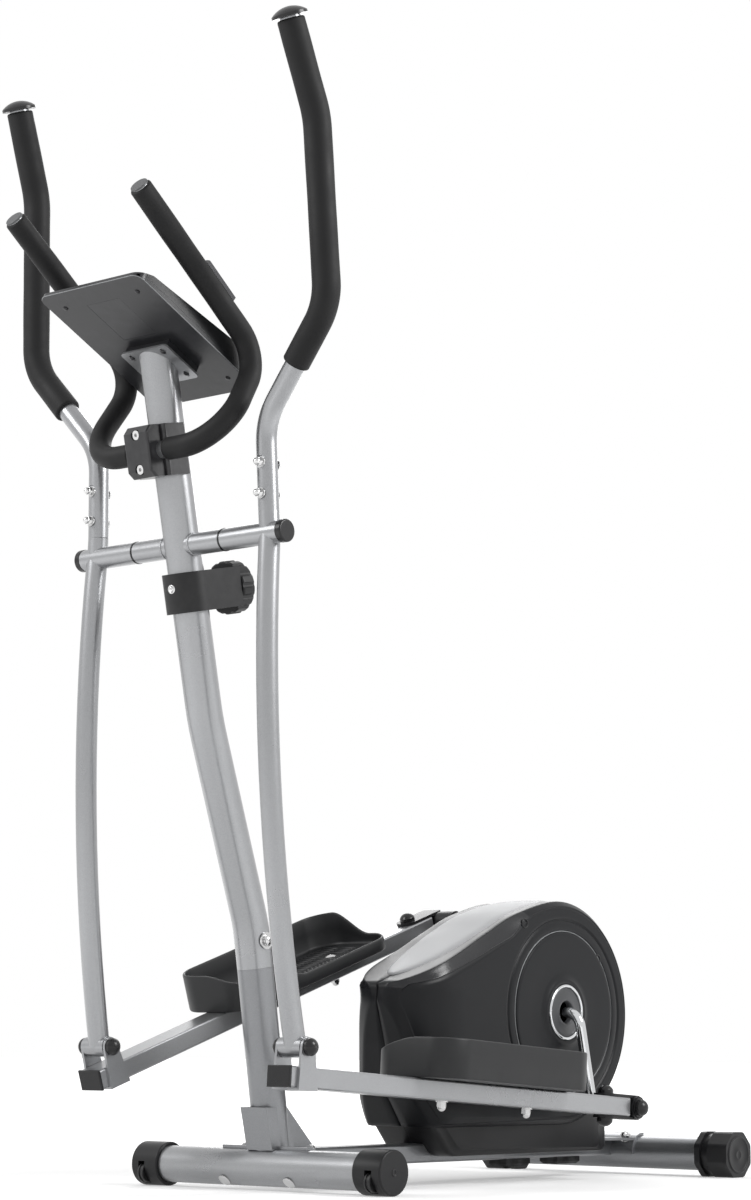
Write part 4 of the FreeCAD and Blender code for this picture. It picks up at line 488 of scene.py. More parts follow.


# In each finish, edge and the edge colour set a painted highlight on sharp outer edges
FINISHES = {
    "silver_paint": Finish("silver_paint", (0.34, 0.345, 0.355), 0.30, Texture.FLAKE, 2200.0, 0.00001, 0.10,
                           metallic=0.72, coat=0.25, tone=0.05, edge=0.0),
    "beam_paint": Finish("beam_paint", (0.25, 0.255, 0.265), 0.34, Texture.FLAKE, 2200.0, 0.00001, 0.10,
                         metallic=0.70, coat=0.20, tone=0.06, edge=0.0),
    "charcoal_plastic": Finish("charcoal_plastic", (0.0085, 0.009, 0.0105), 0.36, texture_scale=1300.0, bump=0.10,
                               specular=0.20, tone=0.10, edge=0.0),
    # Slightly lighter, glossier copy of the charcoal cover plastic for the chamfer band; the lighter colour is a
    # painted highlight
    "band_highlight_plastic": Finish("band_highlight_plastic", (0.011, 0.0115, 0.0135), 0.22, texture_scale=1300.0, bump=0.03,
                           specular=0.35, coat=0.12, tone=0.06, edge=0.0),
    "insert_plastic": Finish("insert_plastic", (0.34, 0.345, 0.355), 0.48, texture_scale=1500.0, bump=0.10,
                             tone=0.04, edge=0.0),
    "black_plastic": Finish("black_plastic", (0.0075, 0.0075, 0.0085), 0.40, texture_scale=1100.0, bump=0.22,
                            specular=0.32, tone=0.12, edge=0.12, edge_highlight_colour=(0.05, 0.05, 0.055)),
    "cap_plastic": Finish("cap_plastic", (0.007, 0.007, 0.008), 0.28, texture_scale=1500.0, bump=0.08,
                          specular=0.40, tone=0.08, edge=0.08, edge_highlight_colour=(0.05, 0.05, 0.05)),
    "clamp_plastic": Finish("clamp_plastic", (0.022, 0.022, 0.024), 0.30, texture_scale=1300.0, bump=0.12,
                            specular=0.45, tone=0.08, edge=0.3, edge_highlight_colour=(0.10, 0.10, 0.105)),
    "knob_plastic": Finish("knob_plastic", (0.006, 0.006, 0.007), 0.44, texture_scale=1000.0, bump=0.35,
                           specular=0.35, tone=0.12, edge=0.15, edge_highlight_colour=(0.05, 0.05, 0.05)),
    "pedal_plastic": Finish("pedal_plastic", (0.013, 0.0135, 0.0145), 0.45, texture_scale=800.0, bump=0.35,
                            specular=0.35, tone=0.18, tone_scale=11.0, edge=0.25,
                            edge_highlight_colour=(0.08, 0.08, 0.085)),
    "foam": Finish("foam", (0.0055, 0.0055, 0.006), 0.62, Texture.FOAM, 1500.0, 0.00006, 0.28,
                   sheen=0.02, specular=0.30, tone=0.22, tone_scale=16.0, edge=0.0),
    "rubber": Finish("rubber", (0.008, 0.008, 0.008), 0.65, texture_scale=700.0, specular=0.3, tone=0.15),
    "wheel_plastic": Finish("wheel_plastic", (0.012, 0.012, 0.013), 0.42, texture_scale=900.0, specular=0.4,
                            tone=0.12, edge=0.2),
    "plug_plastic": Finish("plug_plastic", (0.10, 0.103, 0.107), 0.42, texture_scale=1200.0, tone=0.08),
    "disc_plastic": Finish("disc_plastic", (0.055, 0.057, 0.061), 0.36, texture_scale=1200.0, tone=0.08),
    "crank_chrome": Finish("crank_chrome", (0.62, 0.63, 0.64), 0.10, Texture.BRUSHED, 30.0, 0.000005, 0.05,
                           metallic=1.0, tone=0.05, edge=0.0),
    "bright_steel": Finish("bright_steel", (0.60, 0.60, 0.60), 0.16, Texture.BRUSHED, 60.0, 0.000008, 0.10,
                           metallic=1.0, tone=0.10, edge=0.0),
    "rod_steel": Finish("rod_steel", (0.42, 0.42, 0.43), 0.30, Texture.BRUSHED, 80.0, 0.00001, 0.15,
                        metallic=1.0, tone=0.12, edge=0.0),
    "flywheel_iron": Finish("flywheel_iron", (0.16, 0.16, 0.165), 0.45, Texture.BRUSHED, 60.0, 0.00002, 0.2,
                            metallic=0.9, tone=0.25),
    "pulley_plastic": Finish("pulley_plastic", (0.020, 0.020, 0.021), 0.50),
    "belt_rubber": Finish("belt_rubber", (0.010, 0.010, 0.010), 0.70),
    "magnet_steel": Finish("magnet_steel", (0.05, 0.05, 0.052), 0.45, metallic=0.3),
    "sensor_steel": Finish("sensor_steel", (0.035, 0.035, 0.038), 0.24, Texture.BRUSHED, 60.0, 0.00001, 0.1,
                           metallic=0.6, edge=0.0),
    "console_back_plastic": Finish("console_back_plastic", (0.016, 0.0165, 0.019), 0.30, texture_scale=1200.0,
                                   bump=0.20, tone=0.10, edge=0.12, edge_highlight_colour=(0.10, 0.10, 0.11)),
    "console_front_plastic": Finish("console_front_plastic", (0.016, 0.0165, 0.018), 0.30, texture_scale=1300.0,
                                    bump=0.15, tone=0.08, edge=0.10, edge_highlight_colour=(0.12, 0.12, 0.12)),
    "window_clear": Finish("window_clear", (0.012, 0.014, 0.016), 0.08, texture_scale=1500.0, bump=0.0, coat=0.6,
                           tone=0.03, edge=0.0),
    "button_rubber": Finish("button_rubber", (0.045, 0.045, 0.048), 0.55, texture_scale=900.0),
    "screw_black": Finish("screw_black", (0.03, 0.03, 0.032), 0.30, Texture.BRUSHED, 60.0, 0.00001, 0.1,
                          metallic=0.8, edge=0.2),
    # Light grey for thin beads and lines on dark edges: a painted highlight where light catches the edge
    "highlight_line_grey": Finish("highlight_line_grey", (0.30, 0.31, 0.32), 0.30, texture_scale=1500.0, bump=0.05, tone=0.05,
                          edge=0.0),
}


class Workshop:
    """Holds the built materials, and dresses and attaches pieces."""

    def __init__(self) -> None:
        """Build the shared groups and every finish."""
        effects = Effects()
        self.materials = {name: finish.build(effects) for name, finish in FINISHES.items()}
        self.count = 0

    def dress_cad(self) -> None:
        """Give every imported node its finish."""
        odd = {"cover_screws": "screw_black", "bar_clamp": "clamp_plastic"}
        for entry in frame["record"]["subparts"]:
            node = entry["node"]
            finish = odd.get(node, entry["material_slot"])
            data = frame["nodes"][node].data
            data.materials.clear()
            data.materials.append(self.materials[finish])

    def fit(self, piece: bpy.types.Object, finish: str, body: str,
            replaces: Sequence[str] = ()) -> bpy.types.Object:
        """Dress a new piece and attach it.

        Args:
            piece: The new object.
            finish: Name of its finish.
            body: CAD body it moves with.
            replaces: CAD nodes that it stands for.

        Returns:
            The same piece.
        """
        piece.data.materials.clear()
        piece.data.materials.append(self.materials[finish])
        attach(piece, body)
        if replaces:
            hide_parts(*replaces)
        self.count += 1
        LOG.info("%s: %d points on %s", piece.name, len(piece.data.vertices), body)
        return piece


# ---------------------------------------------------------------- linkage places
@dataclass(frozen=True)
class Linkage:
    """Rest places of the moving arms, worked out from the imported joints."""

    crank_radius: float = 145.7
    crank_phase: float = 7.5
    pivot_drop: float = 40.0
    coupler: float = 766.0
    arm_middle: float = 3.49

    def joint(self, name: str) -> Vector:
        """Place of a packed joint, in drawing millimetres."""
        spot = next(j for j in frame["joints"] if j["name"] == name)["pos_m"]
        return Vector((spot[0], spot[1] - PLAN.shift, spot[2])) / MM

    def pin(self, sign: int) -> Vector:
        """Centre of a crank pin at rest."""
        phase = math.radians(self.crank_phase)
        reach = Vector((0, math.sin(phase), -math.cos(phase))) * self.crank_radius * sign
        return self.joint("crank_turn") + reach

    def pedal_place(self, side: str, sign: int) -> Matrix:
        """Turn and place of the pedal arm's own frame, whose origin is the crank pin."""
        lower, pin = self.joint(f"pedal_{side}_turn"), self.pin(sign)
        slope = math.atan2(pin.z - lower.z, pin.y - lower.y) + math.asin(self.pivot_drop / self.coupler)
        return Matrix.Translation(pin) @ Matrix.Rotation(slope, 4, "X")

    def swing_place(self, side: str) -> Matrix:
        """Turn of a swinging arm about its pivot, from its drawing place to rest."""
        pivot, lower = self.joint(f"swing_{side}_turn"), self.joint(f"pedal_{side}_turn")
        angle = math.atan2(lower.y - pivot.y, pivot.z - lower.z) - math.radians(self.arm_middle)
        return Matrix.Translation(pivot) @ Matrix.Rotation(angle, 4, "X") @ Matrix.Translation(-pivot)


LINKAGE = Linkage()


# ---------------------------------------------------------------- foam grips
@dataclass
class FoamGrips:
    """Soft sleeves on the moving handles and on the fixed bar."""

    handle_radius: float = 19.5
    handle_from: float = 1112.0
    handle_top: float = 1564.0
    handle_corners: tuple = ((164.3, -195.0, 1044.0), (291.0, -209.0, 1183.0), (289.5, -224.5, 1440.0),
                             (285.5, -272.0, 1566.0))
    handle_bends: tuple = (80.0, 80.0, 128.0)
    handle_lean: float = 0.018
    handle_foot: tuple = (165.9, -190.3, 918.0)
    bar_radius: float = 16.0
    bar_start: float = 33.0
    bar_corners: tuple = ((137.4, -253.0, 1012.5), (119.3, -164.5, 1146.0), (122.5, -405.7, 1333.7))
    bar_bends: tuple = (68.0, 54.0)
    lip: float = 3.0

    def skin(self, name: str, line: Sequence[Vector], radius: float) -> bpy.types.Object:
        """Foam sleeve with rounded lips and a slightly uneven skin.

        Args:
            name: Name of the piece.
            line: Centre line in drawing millimetres.
            radius: Outer radius of the foam.

        Returns:
            The sleeve.
        """
        waves = random.Random(name)
        phases = [waves.uniform(0, 2 * math.pi) for _ in range(3)]

        def shape(start: float, end: float) -> float:
            """Radius at a distance from either end."""
            near = min(start, end)
            rounding = 0.0
            if near < self.lip:
                rounding = self.lip - math.sqrt(max(0.0, self.lip ** 2 - (self.lip - near) ** 2))
            swell = 0.12 * math.sin(start / 31.0 + phases[0]) + 0.08 * math.sin(start / 13.0 + phases[1])
            return radius - 0.1 - rounding + swell - 0.2 * smoothstep(30, 0, end)

        return sweep(line, shape, 48, name)

    def fine_ends(self, line: list[Vector]) -> list[Vector]:
        """Add close points at both ends so that the lips come out round."""
        steps = (0.0, 0.3, 0.9, 1.8, 3.0, 4.5)
        head, tail = line[:2], line[-2:]
        into, out = (head[1] - head[0]).normalized(), (tail[0] - tail[1]).normalized()
        body = [p for p in line if (p - line[0]).length > 6 and (p - line[-1]).length > 6]
        return [line[0] + into * s for s in steps] + body + [line[-1] + out * s for s in steps[::-1]]

    def handle_line(self, side: str, sign: int) -> list[Vector]:
        """Centre line of a moving handle's foam at rest."""
        low_z = self.handle_corners[0][2]
        corners = [Vector(self.handle_foot)]
        for x, y, z in self.handle_corners:
            corners.append(Vector((x, y - sign * self.handle_lean * (z - low_z), z)))
        whole = route(corners, self.handle_bends)
        line = [p for p in whole if self.handle_from < p.z < self.handle_top]
        for limit, index in ((self.handle_top, len(line)), (self.handle_from, 0)):
            for a, b in zip(whole, whole[1:]):
                if a.z <= limit < b.z:
                    line.insert(index, a.lerp(b, (limit - a.z) / (b.z - a.z)))
                    break
        turned = [LINKAGE.swing_place(side) @ p for p in line]
        return self.fine_ends([Vector((sign * p.x, p.y, p.z)) for p in turned])

    def build(self, shop: Workshop) -> None:
        """Make the four sleeves."""
        for side, sign in SIDES:
            sleeve = self.skin(f"handle_grip_{side}", self.handle_line(side, sign), self.handle_radius)
            shop.fit(sleeve, "foam", f"swing_{side}", (f"handle_foam_{side}",))
            corners = [Vector(c) for c in self.bar_corners]
            run = (corners[2] - corners[1]).normalized()
            corners[2] = corners[2] - run
            start = Vector((self.bar_start, corners[0].y, corners[0].z))
            line = [Vector((sign * p.x, p.y, p.z)) for p in route([start] + corners, self.bar_bends)]
            sleeve = self.skin(f"fixed_grip_{side}", self.fine_ends(line), self.bar_radius)
            shop.fit(sleeve, "foam", "base", ("grip_foams",))


# ---------------------------------------------------------------- pedals
@dataclass
class Pedals:
    """Open foot trays with a rolled rim and a ribbed tread."""

    length: float = 350.0
    width: float = 150.0
    corner: float = 46.0
    low_rim: float = 20.0
    middle_rim: float = 40.0
    high_rim: float = 56.0
    centre: float = 353.0
    arm_x: float = 178.0
    base: float = 14.3
    wall: float = 4.0
    floor: float = 4.0
    points: int = 144
    bolts: tuple = (100.0, -97.0)
    rows: list = field(default_factory=list)

    def outline(self, inset: float) -> list[Vector]:
        """Rounded oblong in plan, moved in by an inset."""
        half_w, half_l, corner = self.width / 2 - inset, self.length / 2 - inset, max(2.0, self.corner - inset)
        straight = 2 * (half_w - corner) + 2 * (half_l - corner)
        per_side = self.points // 4
        ring = []
        hubs = ((1, 1, 0), (-1, 1, 90), (-1, -1, 180), (1, -1, 270))
        for sx, sy, start in hubs:
            hub = Vector((sx * (half_w - corner), sy * (half_l - corner), 0))
            arc = per_side - 8 if straight else per_side
            for k in range(arc):
                turn = math.radians(start + 90.0 * k / (arc - 1))
                ring.append(hub + Vector((math.cos(turn), math.sin(turn), 0)) * corner)
            next_hub = hubs[(hubs.index((sx, sy, start)) + 1) % 4]
            target = Vector((next_hub[0] * (half_w - corner), next_hub[1] * (half_l - corner), 0))
            turn = math.radians(start + 90)
            begin = ring[-1].copy()
            end = target + Vector((math.cos(turn), math.sin(turn), 0)) * corner
            ring += [begin.lerp(end, (k + 1) / 9) for k in range(8)]
        return ring

    def rim(self, x: float, y: float) -> float:
        """Height of the rim: tall outside and in front, low on the inner side."""
        rise = self.middle_rim + (self.high_rim - self.middle_rim) * smoothstep(-75.0, 10.0, x)
        inner = 1.0 - smoothstep(-25.0, 45.0, x)
        back = smoothstep(-108.0, -42.0, y)
        return rise + (self.low_rim - rise) * inner * back

    def tray(self, place: Callable[[Vector], Vector], name: str) -> bpy.types.Object:
        """Skin the tray from the underside, over the rim and down to the tread floor."""
        sections = [(9.0, 0.0, 0.0), (2.0, 0.0, 0.0), (0.6, 0.6, 0.0), (0.0, 2.2, 0.0), (0.0, 0.5, 0.5),
                    (0.0, -2.6, 1.0), (0.5, -1.0, 1.0), (1.5, -0.15, 1.0), (2.6, -0.15, 1.0), (3.6, -1.0, 1.0),
                    (4.1, -2.6, 1.0), (4.3, 2.5, 0.5), (4.8, self.floor + 4.5, 0.0), (6.0, self.floor + 1.6, 0.0),
                    (8.4, self.floor + 0.2, 0.0), (11.0, self.floor, 0.0)]
        edge = self.outline(0.0)
        rings = []
        for inset, lift, share in sections:
            ring = []
            for outer, point in zip(edge, self.outline(inset)):
                ring.append(place(Vector((point.x, point.y, share * self.rim(outer.x, outer.y) + lift))))
            rings.append(ring)
        return loft(name, rings)

    def tread(self, place: Callable[[Vector], Vector], name: str) -> bpy.types.Object:
        """Rounded cross ribs in three columns, left out round the two bolts."""
        verts, faces = [], []
        columns = ((-50.0, -20.0), (-15.0, 15.0), (20.0, 50.0))
        steps = [math.pi * k / 6 for k in range(7)]
        for k in range(33):
            y = -144.0 + k * 9.0
            for low, high in columns:
                if low < 0 < high and any(abs(y - bolt) < 17 for bolt in self.bolts):
                    continue
                lean = 5.0 if low > 0 else -5.0 if high < 0 else 0.0
                start = len(verts)
                for x, share in ((low, -0.5), (low + 1.5, -0.4), (high - 1.5, 0.4), (high, 0.5)):
                    size = 0.35 if x in (low, high) else 1.0
                    for turn in steps:
                        verts.append(place(Vector((x, y + lean * share - 2.4 * size * math.cos(turn),
                                                   self.floor - 0.2 + 2.5 * size * math.sin(turn)))))
                for row in range(3):
                    for j in range(len(steps) - 1):
                        a = start + row * len(steps) + j
                        faces.append((a, a + 1, a + 1 + len(steps), a + len(steps)))
                for row in (0, 3):
                    faces.append([start + row * len(steps) + j for j in range(len(steps))][::1 if row else -1])
        return mesh_piece(name, verts, faces)

    def build(self, shop: Workshop) -> None:
        """Make both trays and their treads."""
        for side, sign in SIDES:
            turn = LINKAGE.pedal_place(side, sign)

            def place(point: Vector, turn: Matrix = turn, sign: int = sign) -> Vector:
                """Packed place of a point in the tray's own frame."""
                spot = turn @ Vector((point.x + self.arm_x, point.y - self.centre, point.z + self.base))
                return PLAN.at(sign * spot.x, spot.y, spot.z)

            body = f"pedal_bar_{side}"
            shop.fit(self.tray(place, f"foot_tray_{side}"), "pedal_plastic", body, (f"pedal_{side}",))
            shop.fit(self.tread(place, f"foot_tread_{side}"), "pedal_plastic", body)


# ---------------------------------------------------------------- drive housing
@dataclass
class DriveHousing:
    """Rounded two-part cover over the flywheel and the crank pulley."""

    crank_y: float = 603.0
    crank_z: float = 254.0
    radius: float = 172.0
    half: float = 75.0
    corner: float = 13.0
    front: float = 236.0
    knee: float = 330.0
    shoulder: tuple = ((241.0, 292.0), (281.0, 309.0), (358.0, 342.0), (428.0, 375.0), (500.0, 405.0))
    nose: tuple = ((296.0, 82.0), (262.0, 128.0), (256.0, 203.0), (238.0, 268.0))
    skirt_half: float = 58.0
    skirt: tuple = ((340.0, 39.0), (736.0, 39.0), (736.0, 170.0), (300.0, 170.0), (290.0, 96.0))
    screws: tuple = ((502.0, 388.0), (692.0, 338.0), (424.0, 172.0))
    insert_from: float = 272.0
    insert_to: float = 640.0
    insert_half: float = 52.0
    band_depth: float = 27.0
    rim_depth: float = 8.0
    band_set: float = 8.5
    points: int = 360

    def plan_half(self, y: float) -> float:
        """Half width of the cover at a distance along the machine: round in front, then straight."""
        if y >= self.knee:
            return self.half
        depth = self.knee - self.front
        share = min(1.0, max(0.0, (self.knee - y) / depth))
        return self.half * (1.0 - share ** 2.2) ** (1 / 2.0)

    def ridge(self) -> list[Vector]:
        """Top line from the nose to the top of the round, as a smooth curve in (y, z)."""
        marks = [Vector((y, z)) for y, z in self.shoulder]
        marks.append(Vector((self.crank_y, self.crank_z + self.radius)))
        slopes = [(b - a) for a, b in zip(marks, marks[1:])]
        tangents = [Vector((1, 0.42)) * slopes[0].length / 1.1]
        for before, after in zip(slopes, slopes[1:]):
            tangents.append((before + after) / 2)
        tangents.append(Vector((1, 0)) * slopes[-1].length)
        line = []
        for a, b, ta, tb in zip(marks, marks[1:], tangents, tangents[1:]):
            for k in range(12):
                t = k / 12
                line.append(a * (2 * t ** 3 - 3 * t ** 2 + 1) + ta * (t ** 3 - 2 * t ** 2 + t)
                            + b * (3 * t ** 2 - 2 * t ** 3) + tb * (t ** 3 - t ** 2))
        return line

    def reach(self) -> list[float]:
        """Distance from the crank axis to the outline, for equal steps of angle."""
        hub = Vector((self.crank_y, self.crank_z))
        outline = [Vector(p) for p in self.nose] + self.ridge()
        outline += [hub + Vector((math.cos(math.radians(a)), math.sin(math.radians(a)))) * self.radius
                    for a in range(90, -91, -3)]
        outline.append(outline[0])
        spokes = []
        for k in range(self.points):
            turn = 2 * math.pi * k / self.points
            ray = Vector((math.cos(turn), math.sin(turn)))
            best = self.radius
            for a, b in zip(outline, outline[1:]):
                da, db = a - hub, b - hub
                ca, cb = ray.x * da.y - ray.y * da.x, ray.x * db.y - ray.y * db.x
                if ca * cb <= 0 and ca != cb:
                    hit = da.lerp(db, ca / (ca - cb))
                    if hit.dot(ray) > 0:
                        best = max(hit.dot(ray), self.radius)
            spokes.append(best)
        return spokes

    def cover(self, sign: int, name: str) -> bpy.types.Object:
        """Skin one half of the cover from the seam, over the edge and in to the hub hole.

        Args:
            sign: 1 for the left half and -1 for the right one.
            name: Name of the piece.

        Returns:
            The half cover.
        """
        spokes = self.reach()
        rings = []

        def spot(turn: float, radius: float, x: float) -> Vector:
            """Packed place on a spoke."""
            return PLAN.at(sign * x, self.crank_y + radius * math.cos(turn), self.crank_z + radius * math.sin(turn))

        def row(inset: float, share: float, back: float, edge: float = 0.0) -> None:
            """Add a ring: inset from the outline in rims or bands, and set back from the side face."""
            ring = []
            for turn, reach in zip(turns, spokes):
                top = smoothstep(0.07, 0.16, math.sin(turn)) * smoothstep(173.0, 205.0, reach)
                depth = inset * (self.rim_depth + (self.band_depth - self.rim_depth) * top)
                radius = reach - depth - edge
                width = self.plan_half(self.crank_y + radius * math.cos(turn))
                ring.append(spot(turn, radius, max(0.2, (width - min(back, width * 0.6)) * share)))
            rings.append(ring)

        turns = [2 * math.pi * k / self.points for k in range(self.points)]
        rings.append([spot(t, r - 1.6, 0.15) for t, r in zip(turns, spokes)])
        rings.append([spot(t, r - 0.9, 1.1) for t, r in zip(turns, spokes)])
        for share in (0.05, 0.3, 0.6, 0.9, 1.0):
            row(0.0, share, self.band_set + 0.8)
        row(0.0, 1.0, self.band_set, 0.4)
        band_start = len(rings) - 1
        for k in (0.06, 0.3, 0.6, 0.85):
            row(k, 1.0, self.band_set * (1.0 - k))
        row(0.95, 1.0, 0.6)
        band_end = len(rings)
        row(1.0, 1.0, 0.15, 0.4)
        row(1.0, 1.0, 0.9, 1.2)
        row(1.0, 1.0, 0.9, 2.6)
        row(1.0, 1.0, 0.0, 3.6)
        for share in (0.12, 0.3, 0.5, 0.7, 0.88, 1.0):
            ring = []
            for k, (t, r) in enumerate(zip(turns, spokes)):
                point = rings[band_end + 3][k]
                outer = math.hypot((point.y - PLAN.shift) / MM - self.crank_y, point.z / MM - self.crank_z)
                radius = outer + (149.0 - outer) * share
                ring.append(spot(t, radius, self.plan_half(self.crank_y + radius * math.cos(t))))
            rings.append(ring)
        disc = ((146.0, 0.0), (145.2, -0.3), (144.0, -2.4), (141.6, -2.4), (140.4, -0.3), (139.6, 0.0),
                (128.0, 0.2), (127.2, 0.0), (126.4, -1.8), (124.4, -1.8), (123.6, 0.9), (122.4, 1.4), (118.0, 1.5),
                (90.0, 0.9), (62.0, 0.6), (56.0, 0.9), (51.0, 3.2), (49.5, 3.7), (45.0, 3.7), (43.6, 3.0),
                (43.4, 0.1), (19.0, 0.1), (18.6, -8.0))
        for radius, lift in disc:
            rings.append([spot(t, radius, self.half + lift) for t in turns])
        piece = loft(name, rings, cap_start=False, cap_end=False, flip=sign < 0)
        # Faces on the chamfer band along the top get the lighter band material, a painted highlight
        for index, face in enumerate(piece.data.polygons):
            ring, spoke = divmod(index, self.points)
            on_band = band_start <= ring < band_end and spokes[spoke] > 180.0 and math.sin(turns[spoke]) > 0.1
            face.material_index = 1 if on_band else 0
        return piece

    def top_at(self, y: float) -> float:
        """Height of the top line at a distance along the machine."""
        line = self.ridge() + [Vector((self.crank_y + self.radius * math.sin(math.radians(a)),
                                       self.crank_z + self.radius * math.cos(math.radians(a))))
                               for a in range(0, 40, 2)]
        for a, b in zip(line, line[1:]):
            if a.x <= y <= b.x:
                return a.y + (b.y - a.y) * (y - a.x) / (b.x - a.x)
        return line[-1].y

    def insert(self) -> bpy.types.Object:
        """Pale leaf let into the top of the cover, pointed in front and round behind."""
        stations, half_points = 70, 9
        middle, half_length = (self.insert_from + self.insert_to) / 2, (self.insert_to - self.insert_from) / 2
        verts, faces = [], []
        columns = [k / half_points for k in range(-half_points, half_points + 1)]
        for k in range(stations + 1):
            along = -math.cos(math.pi * k / stations)
            y = middle + half_length * along
            blunt = 2.1 if along < 0 else 5.0
            width = self.insert_half * (1 - abs(along) ** blunt) ** (1 / 2.0) + 0.3
            for column in columns:
                lift = 2.2 * (1 - abs(column) ** 6) * min(1.0, width / 6)
                crown = 1.2 * (1 - column ** 2)
                verts.append(PLAN.at(column * width, y, self.top_at(y) + lift + crown - 0.4))
        across = len(columns)
        for row in range(stations):
            for column in range(across - 1):
                a = row * across + column
                faces.append((a, a + 1, a + 1 + across, a + across))
        return mesh_piece("top_insert", verts, faces)

    def skirt_shell(self, sign: int, name: str) -> bpy.types.Object:
        """Narrow lower part of the cover, with softened corners and two stepped lines."""
        corners = [Vector(p) for p in self.skirt]
        hub = sum(corners, Vector((0, 0))) / len(corners)
        outline = []
        for k, corner in enumerate(corners):
            before, after = corners[k - 1], corners[(k + 1) % len(corners)]
            start = corner + (before - corner).normalized() * 14
            end = corner + (after - corner).normalized() * 14
            for j in range(7):
                t = j / 6
                outline.append(start * (1 - t) ** 2 + corner * (2 * t * (1 - t)) + end * t ** 2)
        rings = []
        levels = ((0.0, 0.15), (0.0, 20.0), (0.0, self.skirt_half - 8), (0.6, self.skirt_half - 4.0),
                  (2.3, self.skirt_half - 1.4), (5.0, self.skirt_half - 0.3), (8.0, self.skirt_half),
                  (20.0, self.skirt_half), (21.5, self.skirt_half + 1.6), (24.0, self.skirt_half + 2.0),
                  (40.0, self.skirt_half + 2.0))
        for inset, x in levels:
            ring = []
            for point in outline:
                inward = (hub - point).normalized() * inset
                ring.append(PLAN.at(sign * x, point.x + inward.x, point.y + inward.y))
            rings.append(ring)
        return loft(name, rings, cap_start=False, cap_end=True, flip=sign < 0)

    def fittings(self, shop: Workshop, side: str, sign: int) -> None:
        """Add the hub ring, hub disc, a light grey line that paints the disc edge's highlight, and screw cups to one
        side.
        """
        face = Vector((sign * self.half, self.crank_y, self.crank_z))
        out = Vector((sign, 0, 0))
        ring = lathe(f"hub_ring_{side}", face, out,
                     ((43.0, 0.4), (43.0, 4.2), (42.2, 5.2), (40.6, 5.6), (39.0, 5.2), (38.2, 4.2), (38.2, 0.4)), 120)
        shop.fit(ring, "crank_chrome", "base", ("hub_rings",))
        disc = lathe(f"hub_disc_{side}", face, out,
                     ((38.0, 2.0), (37.2, 3.0), (34.0, 3.4), (24.0, 3.4), (21.0, 4.4), (18.5, 4.4), (17.2, 3.6),
                      (17.0, -6.0)), 120)
        shop.fit(disc, "disc_plastic", "base")
        # Light grey ridge at the disc's edge: painted highlight
        line = lathe(f"disc_highlight_line_{side}", face, out,
                     ((126.2, -1.7), (126.0, -0.6), (125.4, -0.2), (124.8, -0.6), (124.6, -1.7)), 180)
        shop.fit(line, "highlight_line_grey", "base")
        for k, (y, z) in enumerate(self.screws):
            cup = lathe(f"screw_cup_{side}_{k}", Vector((sign * self.half, y, z)), out,
                        ((8.2, 0.05), (7.7, 0.9), (6.4, 1.2), (5.6, 0.6), (5.4, -3.0), (0.4, -3.2)), 40)
            shop.fit(cup, "black_plastic", "base")

    def build(self, shop: Workshop) -> None:
        """Make both halves, the skirt, the insert and the fittings."""
        for side, sign in SIDES:
            cover = self.cover(sign, f"drive_cover_{side}")
            marks = [face.material_index for face in cover.data.polygons]
            shop.fit(cover, "charcoal_plastic", "base", (f"housing_{side}",))
            # Lighter band material on the chamfer: painted highlight
            cover.data.materials.append(shop.materials["band_highlight_plastic"])
            cover.data.polygons.foreach_set("material_index", marks)
            shop.fit(self.skirt_shell(sign, f"drive_skirt_{side}"), "black_plastic", "base")
            self.fittings(shop, side, sign)
        shop.fit(self.insert(), "insert_plastic", "base", ("housing_insert",))


# ---------------------------------------------------------------- weld beads
@dataclass
class WeldBeads:
    """Painted weld beads where the frame's tubes meet."""

    bead: float = 1.7
    ripples: int = 34

    def ring(self, name: str, centre: Vector, axis: Vector, radius: float) -> bpy.types.Object:
        """Rippled bead round a tube."""
        unit = axis.normalized()
        across = unit.orthogonal().normalized()
        up = unit.cross(across)
        rings = []
        steps = self.ripples * 4
        for k in range(steps):
            turn = 2 * math.pi * k / steps
            out = across * math.cos(turn) + up * math.sin(turn)
            r = self.bead * (1.0 + 0.16 * math.sin(turn * self.ripples))
            ring = []
            for j in range(10):
                lean = 2 * math.pi * j / 10
                ring.append(PLAN.at(*(centre + out * (radius + r * 0.7 * math.cos(lean)) + unit * r * math.sin(lean))))
            rings.append(ring)
        rings.append(rings[0])
        return loft(name, rings, cap_start=False, cap_end=False)

    def build(self, shop: Workshop) -> None:
        """Add beads at the foot of the stub."""
        pivot = LINKAGE.joint("swing_left_turn")
        for side, sign in SIDES:
            centre = Vector((sign * 26.3, pivot.y, pivot.z))
            piece = self.ring(f"cross_bead_{side}", centre, Vector((sign, 0, 0)), 15.6)
            shop.fit(piece, "silver_paint", "base")


# ---------------------------------------------------------------- console bead, a painted highlight
@dataclass
class ConsoleHighlightBead:
    """Light grey bead round the console's back plate, which paints a highlight along the plate's edge."""

    tilt: float = 25.5
    front_y: float = -381.3
    front_z: float = 1220.7
    width: float = 194.4
    length: float = 260.0
    corner: float = 14.0
    bead: float = 0.8

    def spot(self, x: float, s: float, h: float) -> Vector:
        """Drawing place of a point in the console's own frame."""
        tilt = math.radians(self.tilt)
        return Vector((x, self.front_y + s * math.cos(tilt) + h * math.sin(tilt),
                       self.front_z - s * math.sin(tilt) + h * math.cos(tilt)))

    def build(self, shop: Workshop) -> None:
        """Make the light grey bead round the plate, a painted highlight along its edge."""
        half, end, c = self.width / 2, self.length, self.corner
        corners = [(0, 0), (half, 0), (half, end), (-half, end), (-half, 0), (0, 0)]
        line = route([self.spot(x, s, 1.2) for x, s in corners], [c] * 4, 3.0)
        piece = sweep(line, lambda start, stop: self.bead, 10, "plate_highlight_bead")
        shop.fit(piece, "highlight_line_grey", "base")


